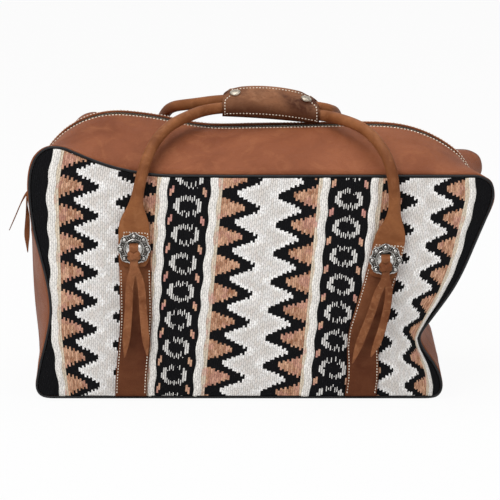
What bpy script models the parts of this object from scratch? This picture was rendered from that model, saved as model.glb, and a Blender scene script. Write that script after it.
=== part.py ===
"""Western overnight bag: woven wool front and back, a leather band with a zip over the top,
two rolled handles in a snapped grip wrap, and berry conchos with leather thongs."""

import math

import bmesh
import bpy
import numpy as np
from mathutils import Vector

# Body, measured round the leather band
BASE_LENGTH = 0.470
HEIGHT = 0.315
DEPTH = 0.230
BELLY = 0.006
BASE_CORNER = 0.014
SHOULDER_RADIUS = 0.100
SHOULDER_OFFSET = 0.095
RIM_DROP = 0.053
DIP_DROP = 0.016
SLUMP_SHIFT = 0.036
SLUMP_START = 0.022
SLUMP_REACH = 0.090

# Levels at which the outlines of the seam and of the band's middle were drawn
DRAWN_RIM = 0.262
DRAWN_DIP = 0.295

# Sheets and cords
WOOL_THICKNESS = 0.0024
LEATHER_THICKNESS = 0.0022
LINING_THICKNESS = 0.0012
PIPING_RADIUS = 0.0018
SEAM_GAP = 0.0003
BAND_GAP = 0.0012
RIDGE_HEIGHT = 0.0014
RIDGE_WIDTH = 0.011
BOARD_THICKNESS = 0.0024
BOARD_MARGIN = 0.018
LINING_CLEARANCE = 0.009
LINING_TOP_DROP = 0.068
LINING_CORNER = 0.012

# Zip
ZIP_OPENING = 0.026
TAPE_THICKNESS = 0.0008
TAPE_UNDERLAP = 0.006
TOOTH_DEPTH = 0.0027
TOOTH_PITCH = 0.0125
TOOTH_HEIGHT = 0.0026
CHAIN_SLOT = 0.0018
SLIDER_LENGTH = 0.011
SLIDER_PLATE = 0.0013
SLIDER_CLEARANCE = 0.0005
SLIDER_ANGLE = math.radians(15.0)
BRIDGE_RADIUS = 0.0032
BRIDGE_WIRE = 0.0009
PULL_WIRE = 0.0007
PULL_WIDTH = 0.0078
PULL_LENGTH = 0.016

# Straps, handles and grip wrap
STRAP_WIDTH = 0.036
STRAP_THICKNESS = 0.003
STRAP_TUCK = 0.009
LEFT_STRAP_FOOT = 0.232
LEFT_STRAP_HEAD = 0.221
RIGHT_STRAP_FOOT = 0.800
RIGHT_STRAP_HEAD = 0.794
TAB_GAP = 0.0010
HANDLE_RADIUS = 0.007
TAB_THICKNESS = 0.004
TAB_RISE = 0.0255
TAB_DROP = 0.0215
TAB_ROUND = 0.008
ROLL_LENGTH = 0.034
WRAP_LENGTH = 0.112
WRAP_CENTRE = 0.0365
WRAP_RISE = 0.0086
WRAP_FALL = 0.0045
WRAP_ARCH = 0.0045
GRIP_FALL = 0.06
WRAP_BULGE = 0.30
WRAP_THICKNESS = 0.0022
WRAP_CLEARANCE = 0.0009
TUBE_SPREAD = 0.0158
TUBE_TILT = math.radians(24.0)
SNAP_RADIUS = 0.0065
SNAP_HEIGHT = 0.0028
SNAP_SPACING = 0.082
SNAP_GAP = 0.0005

# Conchos and thongs
CONCHO_RADIUS = 0.0190
BERRY_RING = 0.0153
BERRY_HEIGHT = 0.0046
BERRY_COUNT = 8
DOME_RADIUS = 0.0105
DOME_HEIGHT = 0.0065
SLOT_WIDTH = 0.0095
SLOT_HEIGHT = 0.0030
SLOT_OFFSET = 0.0070
THONG_WIDTH = 0.0080
THONG_THICKNESS = 0.0014
LEFT_CONCHO_HEIGHT = 0.179
RIGHT_CONCHO_HEIGHT = 0.166

# Where the pieces of the leather band meet, as shares of each edge's length
BASE_JOINT = 0.10
LEFT_JOINT = 0.66
RIGHT_JOINT = 0.74

# Stations shared by every piece that meets a seam
ROWS = (0.0, 0.035, 0.075, 0.12, 0.165, 0.205, 0.24, 0.28, 0.34, 0.42, 0.52, 0.63, 0.74, 0.85, 0.94, 1.0)
RIDGE_PLACES = (0.056, 0.287, 0.399, 0.634, 0.738, 0.954)

OBJECT_NAME = "overnight_bag"
TAPE_SINK = LEATHER_THICKNESS + SEAM_GAP
CHAIN_SINK = TAPE_SINK + TAPE_THICKNESS / 2
TAPE_INNER = CHAIN_SLOT / 2 + TOOTH_DEPTH + SEAM_GAP
TAPE_OUTER = ZIP_OPENING / 2 + TAPE_UNDERLAP
LEFT_END = -BASE_LENGTH / 2
RIGHT_END = BASE_LENGTH / 2
SIDE = {"front": -1.0, "back": 1.0}


def start_scene():
    """Empty the file and open one collection for the pieces and one for cutters."""
    for item in list(bpy.data.objects):
        bpy.data.objects.remove(item, do_unlink=True)
    parts = bpy.data.collections.new(OBJECT_NAME)
    cutters = bpy.data.collections.new("cutters")
    for collection in (parts, cutters):
        bpy.context.scene.collection.children.link(collection)
    return parts, cutters


PARTS, CUTTERS = start_scene()


def make_material(name, colour, roughness, metallic=0.0):
    material = bpy.data.materials.new(name)
    material.use_nodes = True
    shader = material.node_tree.nodes["Principled BSDF"]
    shader.inputs["Base Color"].default_value = (*colour, 1.0)
    shader.inputs["Roughness"].default_value = roughness
    shader.inputs["Metallic"].default_value = metallic
    material.diffuse_color = (*colour, 1.0)
    return material


WOOL = make_material("woven_wool", (0.50, 0.46, 0.42), 0.9)
BAND_LEATHER = make_material("oiled_leather", (0.31, 0.12, 0.06), 0.45)
STRAP_LEATHER = make_material("strap_leather", (0.15, 0.05, 0.02), 0.4)
HANDLE_LEATHER = make_material("handle_leather", (0.28, 0.12, 0.06), 0.45)
THONG_LEATHER = make_material("thong_leather", (0.23, 0.09, 0.045), 0.6)
PIPING = make_material("black_piping", (0.012, 0.012, 0.012), 0.35)
TAPE = make_material("zip_tape", (0.012, 0.011, 0.010), 0.8)
BRASS = make_material("aged_brass", (0.35, 0.25, 0.12), 0.35, 1.0)
SILVER = make_material("aged_silver", (0.55, 0.54, 0.52), 0.3, 1.0)
NICKEL = make_material("nickel", (0.62, 0.56, 0.47), 0.25, 1.0)
CLOTH = make_material("lining_cloth", (0.06, 0.05, 0.045), 0.9)
BOARD = make_material("base_board", (0.20, 0.16, 0.11), 0.8)


def add_object(name, mesh, material, collection=PARTS):
    item = bpy.data.objects.new(name, mesh)
    collection.objects.link(item)
    mesh.materials.clear()
    mesh.materials.append(material)
    return item


def smooth_by_angle(mesh, degrees=40.0):
    mesh.shade_smooth()
    mesh.set_sharp_from_angle(angle=math.radians(degrees))


def face_outwards(mesh):
    """Turn the faces of a closed mesh outwards."""
    work = bmesh.new()
    work.from_mesh(mesh)
    bmesh.ops.recalc_face_normals(work, faces=work.faces)
    work.to_mesh(mesh)
    work.free()


def smooth_line(keys, count=200):
    """Natural cubic curve through the key points, spaced by chord length."""
    points = np.array(keys, dtype=float)
    spans = np.linalg.norm(np.diff(points, axis=0), axis=1)
    knots = np.concatenate(([0.0], np.cumsum(spans)))
    size = len(points)
    system = np.eye(size)
    target = np.zeros_like(points)
    for i in range(1, size - 1):
        system[i, i - 1] = spans[i - 1]
        system[i, i] = 2.0 * (spans[i - 1] + spans[i])
        system[i, i + 1] = spans[i]
        rise_after = (points[i + 1] - points[i]) / spans[i]
        rise_before = (points[i] - points[i - 1]) / spans[i - 1]
        target[i] = 6.0 * (rise_after - rise_before)
    bend = np.linalg.solve(system, target)
    places = np.linspace(0.0, knots[-1], count)
    index = np.clip(np.searchsorted(knots, places, side="right") - 1, 0, size - 2)
    span = spans[index][:, None]
    before = (places - knots[index])[:, None]
    after = span - before
    cubic = (bend[index] * after ** 3 + bend[index + 1] * before ** 3) / (6.0 * span)
    start = (points[index] / span - bend[index] * span / 6.0) * after
    end = (points[index + 1] / span - bend[index + 1] * span / 6.0) * before
    return cubic + start + end


def along(line, share):
    """Point at a share of a line's length."""
    steps = np.linalg.norm(np.diff(line, axis=0), axis=1)
    length = np.concatenate(([0.0], np.cumsum(steps)))
    place = share * length[-1]
    return np.array([np.interp(place, length, line[:, axis]) for axis in range(line.shape[1])])


def line_length(line):
    return float(np.linalg.norm(np.diff(line, axis=0), axis=1).sum())


def arc(centre, radius, start, end, count=40):
    """Points of a round arc in X and Z, with angles in degrees from +X."""
    turns = np.radians(np.linspace(start, end, count))
    return np.stack((centre[0] + radius * np.cos(turns), centre[1] + radius * np.sin(turns)), axis=1)


def shoulder_centre():
    return LEFT_END + SHOULDER_OFFSET, HEIGHT - SHOULDER_RADIUS


def base_corners():
    """Right and left bottom corners, each split at its middle."""
    right = (RIGHT_END - BASE_CORNER, BASE_CORNER)
    left = (LEFT_END + BASE_CORNER, BASE_CORNER)
    return right, left


def seam_lines():
    """Front seam as four edges: bottom, right, top and left, running round anticlockwise."""
    right, left = base_corners()
    rim = HEIGHT - RIM_DROP
    grow = rim / DRAWN_RIM
    right_keys = [(0.0, 0.014), (-0.003, 0.029), (-0.009, 0.041), (-0.017, 0.052), (-0.025, 0.064),
                  (-0.029, 0.073), (-0.019, 0.087), (-0.008, 0.102), (0.009, 0.125), (0.028, 0.164),
                  (0.039, 0.192), (0.051, 0.219), (0.057, 0.239), (0.054, 0.252)]
    left_keys = [(0.013, 0.293), (0.001, 0.282), (-0.005, 0.262), (-0.006, 0.240), (-0.003, 0.215),
                 (0.0, 0.194), (0.006, 0.176), (0.011, 0.152), (0.016, 0.130), (0.019, 0.109),
                 (0.0165, 0.088), (0.012, 0.067), (0.0055, 0.043), (0.0, 0.014)]
    top_keys = [(RIGHT_END + 0.054, 0.252), (RIGHT_END + 0.046, 0.259), (RIGHT_END + 0.027, 0.262),
                (RIGHT_END - 0.010, 0.262), (RIGHT_END - 0.060, 0.262), (0.080, 0.262), (0.0, 0.262),
                (LEFT_END + 0.150, 0.2625), (LEFT_END + 0.111, 0.265), (LEFT_END + 0.077, 0.276),
                (LEFT_END + 0.048, 0.289), (LEFT_END + 0.025, 0.296), (LEFT_END + 0.013, 0.293)]
    base = np.vstack((arc(left, BASE_CORNER, 225, 270), arc(right, BASE_CORNER, 270, 315)))
    side = smooth_line([(RIGHT_END + x, z * grow) for x, z in right_keys[1:]])
    rising = np.vstack((arc(right, BASE_CORNER, 315, 360), side))
    top = smooth_line([(x, z * grow) for x, z in top_keys])
    side = smooth_line([(LEFT_END + x, z * grow) for x, z in left_keys[:-1]])
    falling = np.vstack((side, arc(left, BASE_CORNER, 180, 225)))
    return [base, rising, top, falling]


def middle_lines():
    """Centre line of the leather band, split at the same four corners."""
    right, left = base_corners()
    dip = HEIGHT - DIP_DROP
    grow = dip / DRAWN_DIP
    centre = shoulder_centre()
    right_keys = [(-0.003, 0.029), (-0.006, 0.041), (-0.012, 0.052), (-0.018, 0.062), (-0.019, 0.070),
                  (-0.016, 0.086), (-0.011, 0.100), (-0.001, 0.121), (0.013, 0.150), (0.027, 0.178),
                  (0.036, 0.200), (0.040, 0.225), (0.033, 0.243)]
    top_keys = [(RIGHT_END + 0.033, 0.243), (RIGHT_END + 0.024, 0.257), (RIGHT_END - 0.003, 0.2785),
                (RIGHT_END - 0.040, 0.2930), (RIGHT_END - 0.090, 0.297), (0.075, 0.296), (0.015, 0.295)]
    top_keys = [(x, z * grow) for x, z in top_keys]
    slope = [(centre[0] + x, HEIGHT - drop) for x, drop in ((0.090, 0.0145), (0.040, 0.0045))]
    crest = arc(centre, SHOULDER_RADIUS, 90, 147)
    top_keys += slope + [tuple(crest[0])]
    left_keys = [(-0.007, 0.85), (-0.007, 0.66), (-0.006, 0.50), (-0.003, 0.34), (0.0, 0.20), (0.0, 0.10)]
    left_keys = [(LEFT_END + x, share * centre[1]) for x, share in left_keys]
    base = np.vstack((arc(left, BASE_CORNER, 225, 270), arc(right, BASE_CORNER, 270, 315)))
    side = smooth_line([(RIGHT_END + x, z * grow) for x, z in right_keys])
    rising = np.vstack((arc(right, BASE_CORNER, 315, 360), side))
    top = np.vstack((smooth_line(top_keys), crest[1:]))
    fall = arc(centre, SHOULDER_RADIUS, 147, 180)
    side = smooth_line([tuple(fall[-1])] + left_keys)
    falling = np.vstack((fall, side[1:], arc(left, BASE_CORNER, 180, 225)))
    return [base, rising, top, falling]


SEAM = seam_lines()
MIDDLE = middle_lines()


def columns():
    """Shares of the panel's width, with three to each raised cord of the weave."""
    half = RIDGE_WIDTH / 2 / BASE_LENGTH
    places = [0.0, 0.02]
    for index, place in enumerate(RIDGE_PLACES):
        places += [place - half, place, place + half]
        if index + 1 < len(RIDGE_PLACES):
            places.append((place + RIDGE_PLACES[index + 1]) / 2)
    return places + [0.985, 1.0]


COLUMNS = columns()


def loop_stations():
    """Places round the seam, as an edge's number plus a share of its length."""
    stations = [share for share in COLUMNS[:-1]]
    stations += [1.0 + share for share in ROWS[:-1]]
    stations += [3.0 - share for share in reversed(COLUMNS[1:])]
    stations += [4.0 - share for share in reversed(ROWS[1:])]
    return sorted(stations)


STATIONS = loop_stations()


def on_lines(lines, station):
    """Point on a closed set of four edges."""
    station = station % 4.0
    edge = int(station)
    return along(lines[edge], station - edge)


def inward(lines, station, step=0.004):
    """Direction from the edge towards the middle of the bag, in X and Z."""
    ahead = on_lines(lines, station + step) - on_lines(lines, station - step)
    turned = np.array([-ahead[1], ahead[0]])
    return turned / np.linalg.norm(turned)


def face_depth(x, z):
    """Half depth of the wool face, which bellies out towards the middle."""
    middle = (HEIGHT - RIM_DROP) / 2
    up = 1.0 - ((z - middle) / (middle * 1.1)) ** 2
    across = 1.0 - (x / (BASE_LENGTH * 0.62)) ** 2
    return DEPTH / 2 + BELLY * max(up, 0.0) * max(across, 0.0)


def smooth_step(share):
    """0 below 0, 1 above 1 and a smooth rise between."""
    share = float(np.clip(share, 0.0, 1.0))
    return share * share * (3.0 - 2.0 * share)


def slumped(point):
    """Lean the back of the left shoulder in towards the middle, where the bag sags."""
    x, y, z = point
    back = smooth_step((y - TAPE_OUTER) / (DEPTH / 2 - TAPE_OUTER))
    high = smooth_step((z / HEIGHT - 0.22) / 0.55)
    near = 1.0 - smooth_step((x - LEFT_END - SLUMP_START) / SLUMP_REACH)
    return np.array([x + SLUMP_SHIFT * back * high * near, y, z])


PANEL_INSET = 2 * PIPING_RADIUS + SEAM_GAP
EDGE_PULL = 6


def panel_edge(station):
    """Point on the edge of the wool face, just inside the piping."""
    return on_lines(SEAM, station) + PANEL_INSET * inward(SEAM, station)


PANEL_CORNERS = [panel_edge(float(corner)) for corner in range(4)]


def panel_point(across, up):
    """Point of the wool face in X and Z, where a side's waist fades quickly away from that side."""
    low_left, low_right, high_right, high_left = PANEL_CORNERS
    low = low_left + (low_right - low_left) * across
    high = high_left + (high_right - high_left) * across
    west = low_left + (high_left - low_left) * up
    east = low_right + (high_right - low_right) * up
    point = low + (high - low) * up
    point = point + (panel_edge(min(across, 0.99999)) - low) * (1 - up)
    point = point + (panel_edge(3.0 - across) - high) * up
    point = point + (panel_edge(4.0 - up) - west) * (1 - across) ** EDGE_PULL
    return point + (panel_edge(1.0 + up) - east) * across ** EDGE_PULL


def strip_mesh(name, grid):
    """Mesh over a grid of points, rows by columns."""
    rows = len(grid)
    row_length = len(grid[0])
    points = [tuple(point) for row in grid for point in row]
    faces = []
    for i in range(rows - 1):
        for j in range(row_length - 1):
            corner = i * row_length + j
            faces.append((corner, corner + 1, corner + row_length + 1, corner + row_length))
    mesh = bpy.data.meshes.new(name)
    mesh.from_pydata(points, [], faces)
    mesh.validate()
    return mesh


def add_shell(name, grid, material, thickness, offset=-1.0):
    """Open sheet with Solidify: offset -1 grows it against its normals."""
    mesh = strip_mesh(name, grid)
    smooth_by_angle(mesh)
    item = add_object(name, mesh, material)
    solidify = item.modifiers.new("thickness", "SOLIDIFY")
    solidify.thickness = thickness
    solidify.offset = offset
    solidify.use_even_offset = True
    return item


def loft_mesh(name, rings, closed=False):
    """Skin over rings of points, with flat ends unless the row of rings is closed."""
    count = len(rings[0])
    points = [tuple(point) for ring in rings for point in ring]
    faces = []
    last = len(rings) if closed else len(rings) - 1
    for i in range(last):
        here = i * count
        there = ((i + 1) % len(rings)) * count
        for j in range(count):
            k = (j + 1) % count
            faces.append((here + j, here + k, there + k, there + j))
    if not closed:
        faces.append(tuple(reversed(range(count))))
        faces.append(tuple(range((len(rings) - 1) * count, len(rings) * count)))
    mesh = bpy.data.meshes.new(name)
    mesh.from_pydata(points, [], faces)
    mesh.validate()
    face_outwards(mesh)
    smooth_by_angle(mesh)
    return mesh


def add_panel(side):
    """Woven face inside the piping, with the raised cords of the weave."""
    sign = SIDE[side]
    grid = []
    for up in ROWS:
        row = []
        for across in COLUMNS:
            x, z = panel_point(across, up)
            raised = RIDGE_HEIGHT if across in RIDGE_PLACES and 0.0 < up < 1.0 else 0.0
            row.append(slumped((x, sign * (face_depth(x, z) + raised), z)))
        grid.append(row if sign < 0 else row[::-1])
    return add_shell(f"{side}_panel", grid, WOOL, WOOL_THICKNESS)


def add_piping(side):
    """Round cord sewn into the seam, as a closed tube."""
    sign = SIDE[side]
    curve = bpy.data.curves.new(f"{side}_piping", "CURVE")
    curve.dimensions = "3D"
    curve.bevel_depth = PIPING_RADIUS
    curve.bevel_resolution = 1
    spline = curve.splines.new("POLY")
    bends = [station for station in STATIONS if not is_flat_base(station)]
    spline.points.add(len(bends) - 1)
    for point, station in zip(spline.points, bends):
        x, z = on_lines(SEAM, station) + PIPING_RADIUS * inward(SEAM, station)
        point.co = (*slumped((x, sign * (face_depth(x, z) - WOOL_THICKNESS / 2), z)), 1.0)
    spline.use_cyclic_u = True
    curve.materials.append(PIPING)
    item = bpy.data.objects.new(f"{side}_piping", curve)
    PARTS.objects.link(item)
    return item


def band_point(station, y, sink=0.0):
    """Point of the leather band at a distance y from the centre plane, sunk below its skin."""
    seam = on_lines(SEAM, station)
    middle = on_lines(MIDDLE, station)
    edge = band_edge(station)
    share = min(abs(y) / edge, 1.0)
    level = middle + (seam - middle) * share ** 2
    if sink:
        normal = (1 - share) * inward(MIDDLE, station) + share * inward(SEAM, station)
        level = level + sink * normal / np.linalg.norm(normal)
    return slumped((level[0], math.copysign(share * edge, y), level[1]))


def band_edge(station):
    """Largest y of the band, just behind the piping."""
    return face_depth(*on_lines(SEAM, station)) - WOOL_THICKNESS / 2 - PIPING_RADIUS - BAND_GAP


def stations_between(start, end, longest):
    """Seam stations of one band piece, with no step longer than given and a gap at both ends."""
    first = start + SEAM_GAP / line_length(SEAM[int(start) % 4])
    last = end - SEAM_GAP / line_length(SEAM[int(end) % 4])
    wrapped = STATIONS + [4.0 + station for station in STATIONS]
    clear = 0.004
    inner = [station for station in wrapped if first + clear < station < last - clear]
    coarse = [first] + inner + [last]
    fine = [first]
    for low, high in zip(coarse[:-1], coarse[1:]):
        step = np.linalg.norm(on_lines(MIDDLE, high) - on_lines(MIDDLE, low))
        pieces = max(1, math.ceil(step / longest))
        fine += [low + (high - low) * part / pieces for part in range(1, pieces + 1)]
    return fine


def band_places(station):
    """Distances from the centre plane at which the band bends, from the zip to the seam."""
    edge = band_edge(station)
    return [ZIP_OPENING / 2, TAPE_OUTER, 0.36 * edge, 0.7 * edge, edge]


def is_flat_base(station):
    """Whether a station lies on the straight bottom, away from its corners."""
    return 0.06 < station % 4.0 < 0.94


def add_band_piece(name, start, end):
    """Piece of the band across the whole depth of the bag."""
    grid = []
    for station in stations_between(start, end, BASE_LENGTH):
        if is_flat_base(station):
            continue
        places = band_places(station)
        row = [band_point(station, -y) for y in reversed(places)]
        grid.append(row + [band_point(station, y) for y in places])
    return add_shell(name, grid, BAND_LEATHER, LEATHER_THICKNESS)


ZIP_START = 1.0 + RIGHT_JOINT
ZIP_END = 4.0 - LEFT_JOINT
ZIP_STEP = 0.016


def add_top_strip(side):
    """Leather strip between the seam and the zip."""
    sign = SIDE[side]
    grid = []
    for station in stations_between(ZIP_START, ZIP_END, ZIP_STEP):
        row = [band_point(station, sign * y) for y in band_places(station)]
        grid.append(row if sign > 0 else row[::-1])
    return add_shell(f"top_strip_{side}", grid, BAND_LEATHER, LEATHER_THICKNESS)


def add_zip_tape(side):
    """Woven tape under the edge of the top strip."""
    sign = SIDE[side]
    grid = []
    for station in stations_between(ZIP_START, ZIP_END, ZIP_STEP):
        row = [band_point(station, sign * y, TAPE_SINK) for y in (TAPE_INNER, ZIP_OPENING / 2, TAPE_OUTER)]
        grid.append(row if sign > 0 else row[::-1])
    return add_shell(f"zip_tape_{side}", grid, TAPE, TAPE_THICKNESS)


def zip_line():
    """Centre line of the zip chain as a fine polyline in X and Z."""
    stations = np.linspace(ZIP_START + 0.02, ZIP_END - 0.02, 320)
    return np.array([band_point(station, 0.0, CHAIN_SINK)[[0, 2]] for station in stations])


def add_zip_teeth(side, chain):
    """Moulded row of teeth on the edge of one tape."""
    sign = SIDE[side]
    length = line_length(chain)
    count = int(length / TOOTH_PITCH)
    rings = []
    for half in range(2 * count + 1):
        place = half / (2 * count)
        point = along(chain, place)
        ahead = along(chain, min(place + 0.002, 1.0)) - along(chain, max(place - 0.002, 0.0))
        out = np.array([ahead[1], -ahead[0]]) / np.linalg.norm(ahead)
        tooth = half % 2 == (0 if side == "front" else 1)
        reach = TOOTH_DEPTH if tooth else TOOTH_DEPTH * 0.45
        rise = TOOTH_HEIGHT / 2 if tooth else TOOTH_HEIGHT * 0.3
        outer = CHAIN_SLOT / 2 + TOOTH_DEPTH
        corners = [(outer - reach, -rise), (outer, -rise), (outer, rise), (outer - reach, rise)]
        rings.append([(point[0] + out[0] * up, sign * y, point[1] + out[1] * up) for y, up in corners])
    return add_object(f"zip_teeth_{side}", loft_mesh(f"zip_teeth_{side}", rings), BRASS)


def slider_frame():
    """Origin of the slider on the chain, its outward direction and its way down the end."""
    centre = shoulder_centre()
    out = np.array([-math.cos(SLIDER_ANGLE), 0.0, math.sin(SLIDER_ANGLE)])
    down = np.array([-math.sin(SLIDER_ANGLE), 0.0, -math.cos(SLIDER_ANGLE)])
    origin = np.array([centre[0], 0.0, centre[1]]) + (SHOULDER_RADIUS - CHAIN_SINK) * out
    return origin, out, down


def slider_top():
    """Height of the slider's upper face over the chain's middle."""
    return TOOTH_HEIGHT / 2 + SLIDER_CLEARANCE + SLIDER_PLATE


def union(item, tool):
    """Fuse a tool mesh into an item and leave the tool among the cutters."""
    join = item.modifiers.new("join", "BOOLEAN")
    join.operation = "UNION"
    join.solver = "EXACT"
    join.object = tool
    tool.hide_render = True
    tool.display_type = "WIRE"


def add_zip_slider():
    """Slider body: two plates joined by a post, with side flanges, and a bridge for the pull."""
    origin, out, down = slider_frame()
    inner = TOOTH_HEIGHT / 2 + SLIDER_CLEARANCE
    top = slider_top()
    lip = TAPE_THICKNESS / 2 + SLIDER_CLEARANCE
    post = CHAIN_SLOT / 2 - SEAM_GAP
    wall = CHAIN_SLOT / 2 + TOOTH_DEPTH + SLIDER_CLEARANCE
    edge = wall + 0.001
    quarter = [(post, inner), (wall, inner), (wall, lip), (edge, lip), (edge, top)]
    upper = quarter + [(-y, up) for y, up in reversed(quarter)]
    outline = upper + [(-y, -up) for y, up in upper]
    rings = []
    for end in (-0.5, 0.5):
        middle = origin + down * SLIDER_LENGTH * end
        rings.append([middle + np.array([0.0, y, 0.0]) + out * up for y, up in outline])
    body = add_object("zip_slider", loft_mesh("zip_slider", rings), BRASS)
    curve = bpy.data.curves.new("slider_bridge", "CURVE")
    curve.dimensions = "3D"
    curve.bevel_depth = BRIDGE_WIRE
    curve.bevel_resolution = 2
    curve.use_fill_caps = True
    spline = curve.splines.new("POLY")
    turns = np.radians(np.linspace(-10, 190, 11))
    spline.points.add(len(turns) - 1)
    for point, turn in zip(spline.points, turns):
        place = origin + out * (top + BRIDGE_RADIUS * math.sin(turn)) + down * BRIDGE_RADIUS * math.cos(turn)
        point.co = (*place, 1.0)
    tool = to_mesh_object("slider_bridge", curve)
    union(body, tool)
    return body


def to_mesh_object(name, curve):
    """Turn a curve into a closed mesh object among the cutters."""
    source = bpy.data.objects.new(name + "_curve", curve)
    CUTTERS.objects.link(source)
    bpy.context.view_layer.update()
    evaluated = source.evaluated_get(bpy.context.evaluated_depsgraph_get())
    mesh = bpy.data.meshes.new_from_object(evaluated)
    mesh.name = name
    work = bmesh.new()
    work.from_mesh(mesh)
    bmesh.ops.remove_doubles(work, verts=work.verts, dist=0.00001)
    bmesh.ops.recalc_face_normals(work, faces=work.faces)
    work.to_mesh(mesh)
    work.free()
    bpy.data.objects.remove(source)
    item = bpy.data.objects.new(name, mesh)
    CUTTERS.objects.link(item)
    return item


def pull_axis():
    """Point on the pull's hinge line under the bridge."""
    origin, out, _ = slider_frame()
    return origin + out * (slider_top() + PULL_WIRE + SLIDER_CLEARANCE)


def add_zip_pull():
    """Wire loop that hangs in the slider's bridge."""
    _, _, down = slider_frame()
    axis = pull_axis()
    half = PULL_WIDTH / 2
    bend = half * 0.35
    side = np.array([0.0, 1.0, 0.0])
    outline = [(0.0, -half + bend), (0.0, half - bend), (bend * 0.3, half - bend * 0.3), (bend, half),
               (PULL_LENGTH - bend, half), (PULL_LENGTH - bend * 0.3, half - bend * 0.3),
               (PULL_LENGTH, half - bend), (PULL_LENGTH, -half + bend),
               (PULL_LENGTH - bend * 0.3, -half + bend * 0.3), (PULL_LENGTH - bend, -half),
               (bend, -half), (bend * 0.3, -half + bend * 0.3)]
    curve = bpy.data.curves.new("zip_pull", "CURVE")
    curve.dimensions = "3D"
    curve.bevel_depth = PULL_WIRE
    curve.bevel_resolution = 1
    spline = curve.splines.new("POLY")
    spline.points.add(len(outline) - 1)
    for point, (drop, across) in zip(spline.points, outline):
        point.co = (*(down * drop + side * across), 1.0)
    spline.use_cyclic_u = True
    curve.materials.append(BRASS)
    item = bpy.data.objects.new("zip_pull", curve)
    item.location = Vector(axis)
    PARTS.objects.link(item)
    return item


def ribbon_rings(path, widths, thicknesses, across):
    """Flat rings along a path, each as wide as given and square to the path."""
    rings = []
    count = len(path)
    for i in range(count):
        ahead = path[min(i + 1, count - 1)] - path[max(i - 1, 0)]
        ahead = ahead / np.linalg.norm(ahead)
        sideways = across[i] - ahead * np.dot(across[i], ahead)
        sideways = sideways / np.linalg.norm(sideways)
        up = np.cross(ahead, sideways)
        half = widths[i] / 2
        rise = thicknesses[i] / 2
        corners = [(-half, 0.0), (-half * 0.8, -rise), (half * 0.8, -rise), (half, 0.0),
                   (half * 0.8, rise), (-half * 0.8, rise)]
        rings.append([path[i] + sideways * a + up * b for a, b in corners])
    return rings


def spread(values, places, count):
    """Values set at places from 0 to 1, read at even steps."""
    return np.interp(np.linspace(0.0, 1.0, count), places, values)


def strand_mesh(name, keys, widths, thicknesses, places, across, count=14):
    """Leather strand through key points."""
    path = smooth_line(keys, count)
    across = np.broadcast_to(np.array(across), (count, 3))
    return loft_mesh(name, ribbon_rings(path, spread(widths, places, count),
                                        spread(thicknesses, places, count), across))


def add_zip_thong():
    """Thong looped through the pull, one end standing out and one lying on the leather."""
    _, out, down = slider_frame()
    root = pull_axis() + down * (PULL_LENGTH - 2 * PULL_WIRE - THONG_THICKNESS)
    lift = PULL_WIRE + THONG_THICKNESS
    wide = THONG_WIDTH * 0.62
    across = (0.0, 1.0, 0.0)
    hanging = [root + out * lift, root + down * 0.008 + out * lift * 1.2, root + down * 0.020 + out * 0.0020,
               root + down * 0.036 - out * 0.0030, root + down * 0.056 - out * 0.0075,
               root + down * 0.080 - out * 0.0145]
    standing = [root + down * 0.007 + out * lift * 1.2, root + down * 0.017 + out * 0.0060,
                root + down * 0.034 + out * 0.0090, root + down * 0.060 + out * 0.0130]
    turns = np.radians(spread((0.0, 0.0, 85.0, 85.0), (0.0, 0.25, 0.55, 1.0), 14))
    turned = [(math.sin(turn), math.cos(turn), 0.0) for turn in turns]
    places = (0.0, 0.14, 0.3, 0.75, 1.0)
    thin = THONG_THICKNESS
    widths = (wide * 0.6, wide * 1.1, wide * 0.9, wide * 1.4, wide * 0.2)
    heights = (thin, thin * 2.2, thin, thin, thin * 0.6)
    mesh = strand_mesh("zip_thong", hanging, widths, heights, places, turned, 14)
    item = add_object("zip_thong", mesh, THONG_LEATHER)
    widths = (wide * 0.6, wide * 0.8, wide * 0.6, wide * 0.5, wide * 0.2)
    mesh = strand_mesh("zip_thong_strand", standing, widths, heights, places, across, 9)
    union(item, add_object("zip_thong_strand", mesh, THONG_LEATHER, CUTTERS))
    return item


def strap_point(which, up):
    """Centre of a strap in X and Z at a share of the panel's height."""
    if which == "left":
        foot, head = LEFT_STRAP_FOOT, LEFT_STRAP_HEAD
    else:
        foot, head = RIGHT_STRAP_FOOT, RIGHT_STRAP_HEAD
    return panel_point(foot + (head - foot) * up, up)


STRAP_SHARES = np.linspace(0.0, 1.0, 41)
STRAP_LINES = {which: np.array([strap_point(which, share) for share in STRAP_SHARES])
               for which in ("left", "right")}


def strap_centre(which, level):
    """X of a strap's centre at a level."""
    line = STRAP_LINES[which]
    return float(np.interp(level, line[:, 1], line[:, 0]))


def concho_height(which):
    return LEFT_CONCHO_HEIGHT if which == "left" else RIGHT_CONCHO_HEIGHT


def tab_top(which):
    """Level at which a handle's tab starts to roll into the tube."""
    return concho_height(which) + TAB_RISE


def strap_face(x, z):
    """Distance from the centre plane to a strap's outer face."""
    return face_depth(x, z) + SEAM_GAP + STRAP_THICKNESS


def add_strap(side, which):
    """Flat strap sewn on the wool face from the base seam up under the handle's tab."""
    sign = SIDE[side]
    foot = STRAP_LINES[which][0, 1] + SEAM_GAP
    grid = []
    for z in np.linspace(foot, tab_top(which) - STRAP_TUCK, 10):
        middle = strap_centre(which, z)
        row = []
        for offset in (-0.5, 0.0, 0.5):
            x = middle + offset * STRAP_WIDTH
            row.append((x, sign * (face_depth(x, z) + SEAM_GAP), z))
        grid.append(row if sign < 0 else row[::-1])
    return add_shell(f"{side}_{which}_strap", grid, STRAP_LEATHER, STRAP_THICKNESS, 1.0)


def tab_depth(x, z):
    """Distance from the centre plane to the middle of a handle's tab."""
    return strap_face(x, z) + TAB_GAP + TAB_THICKNESS / 2


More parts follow.
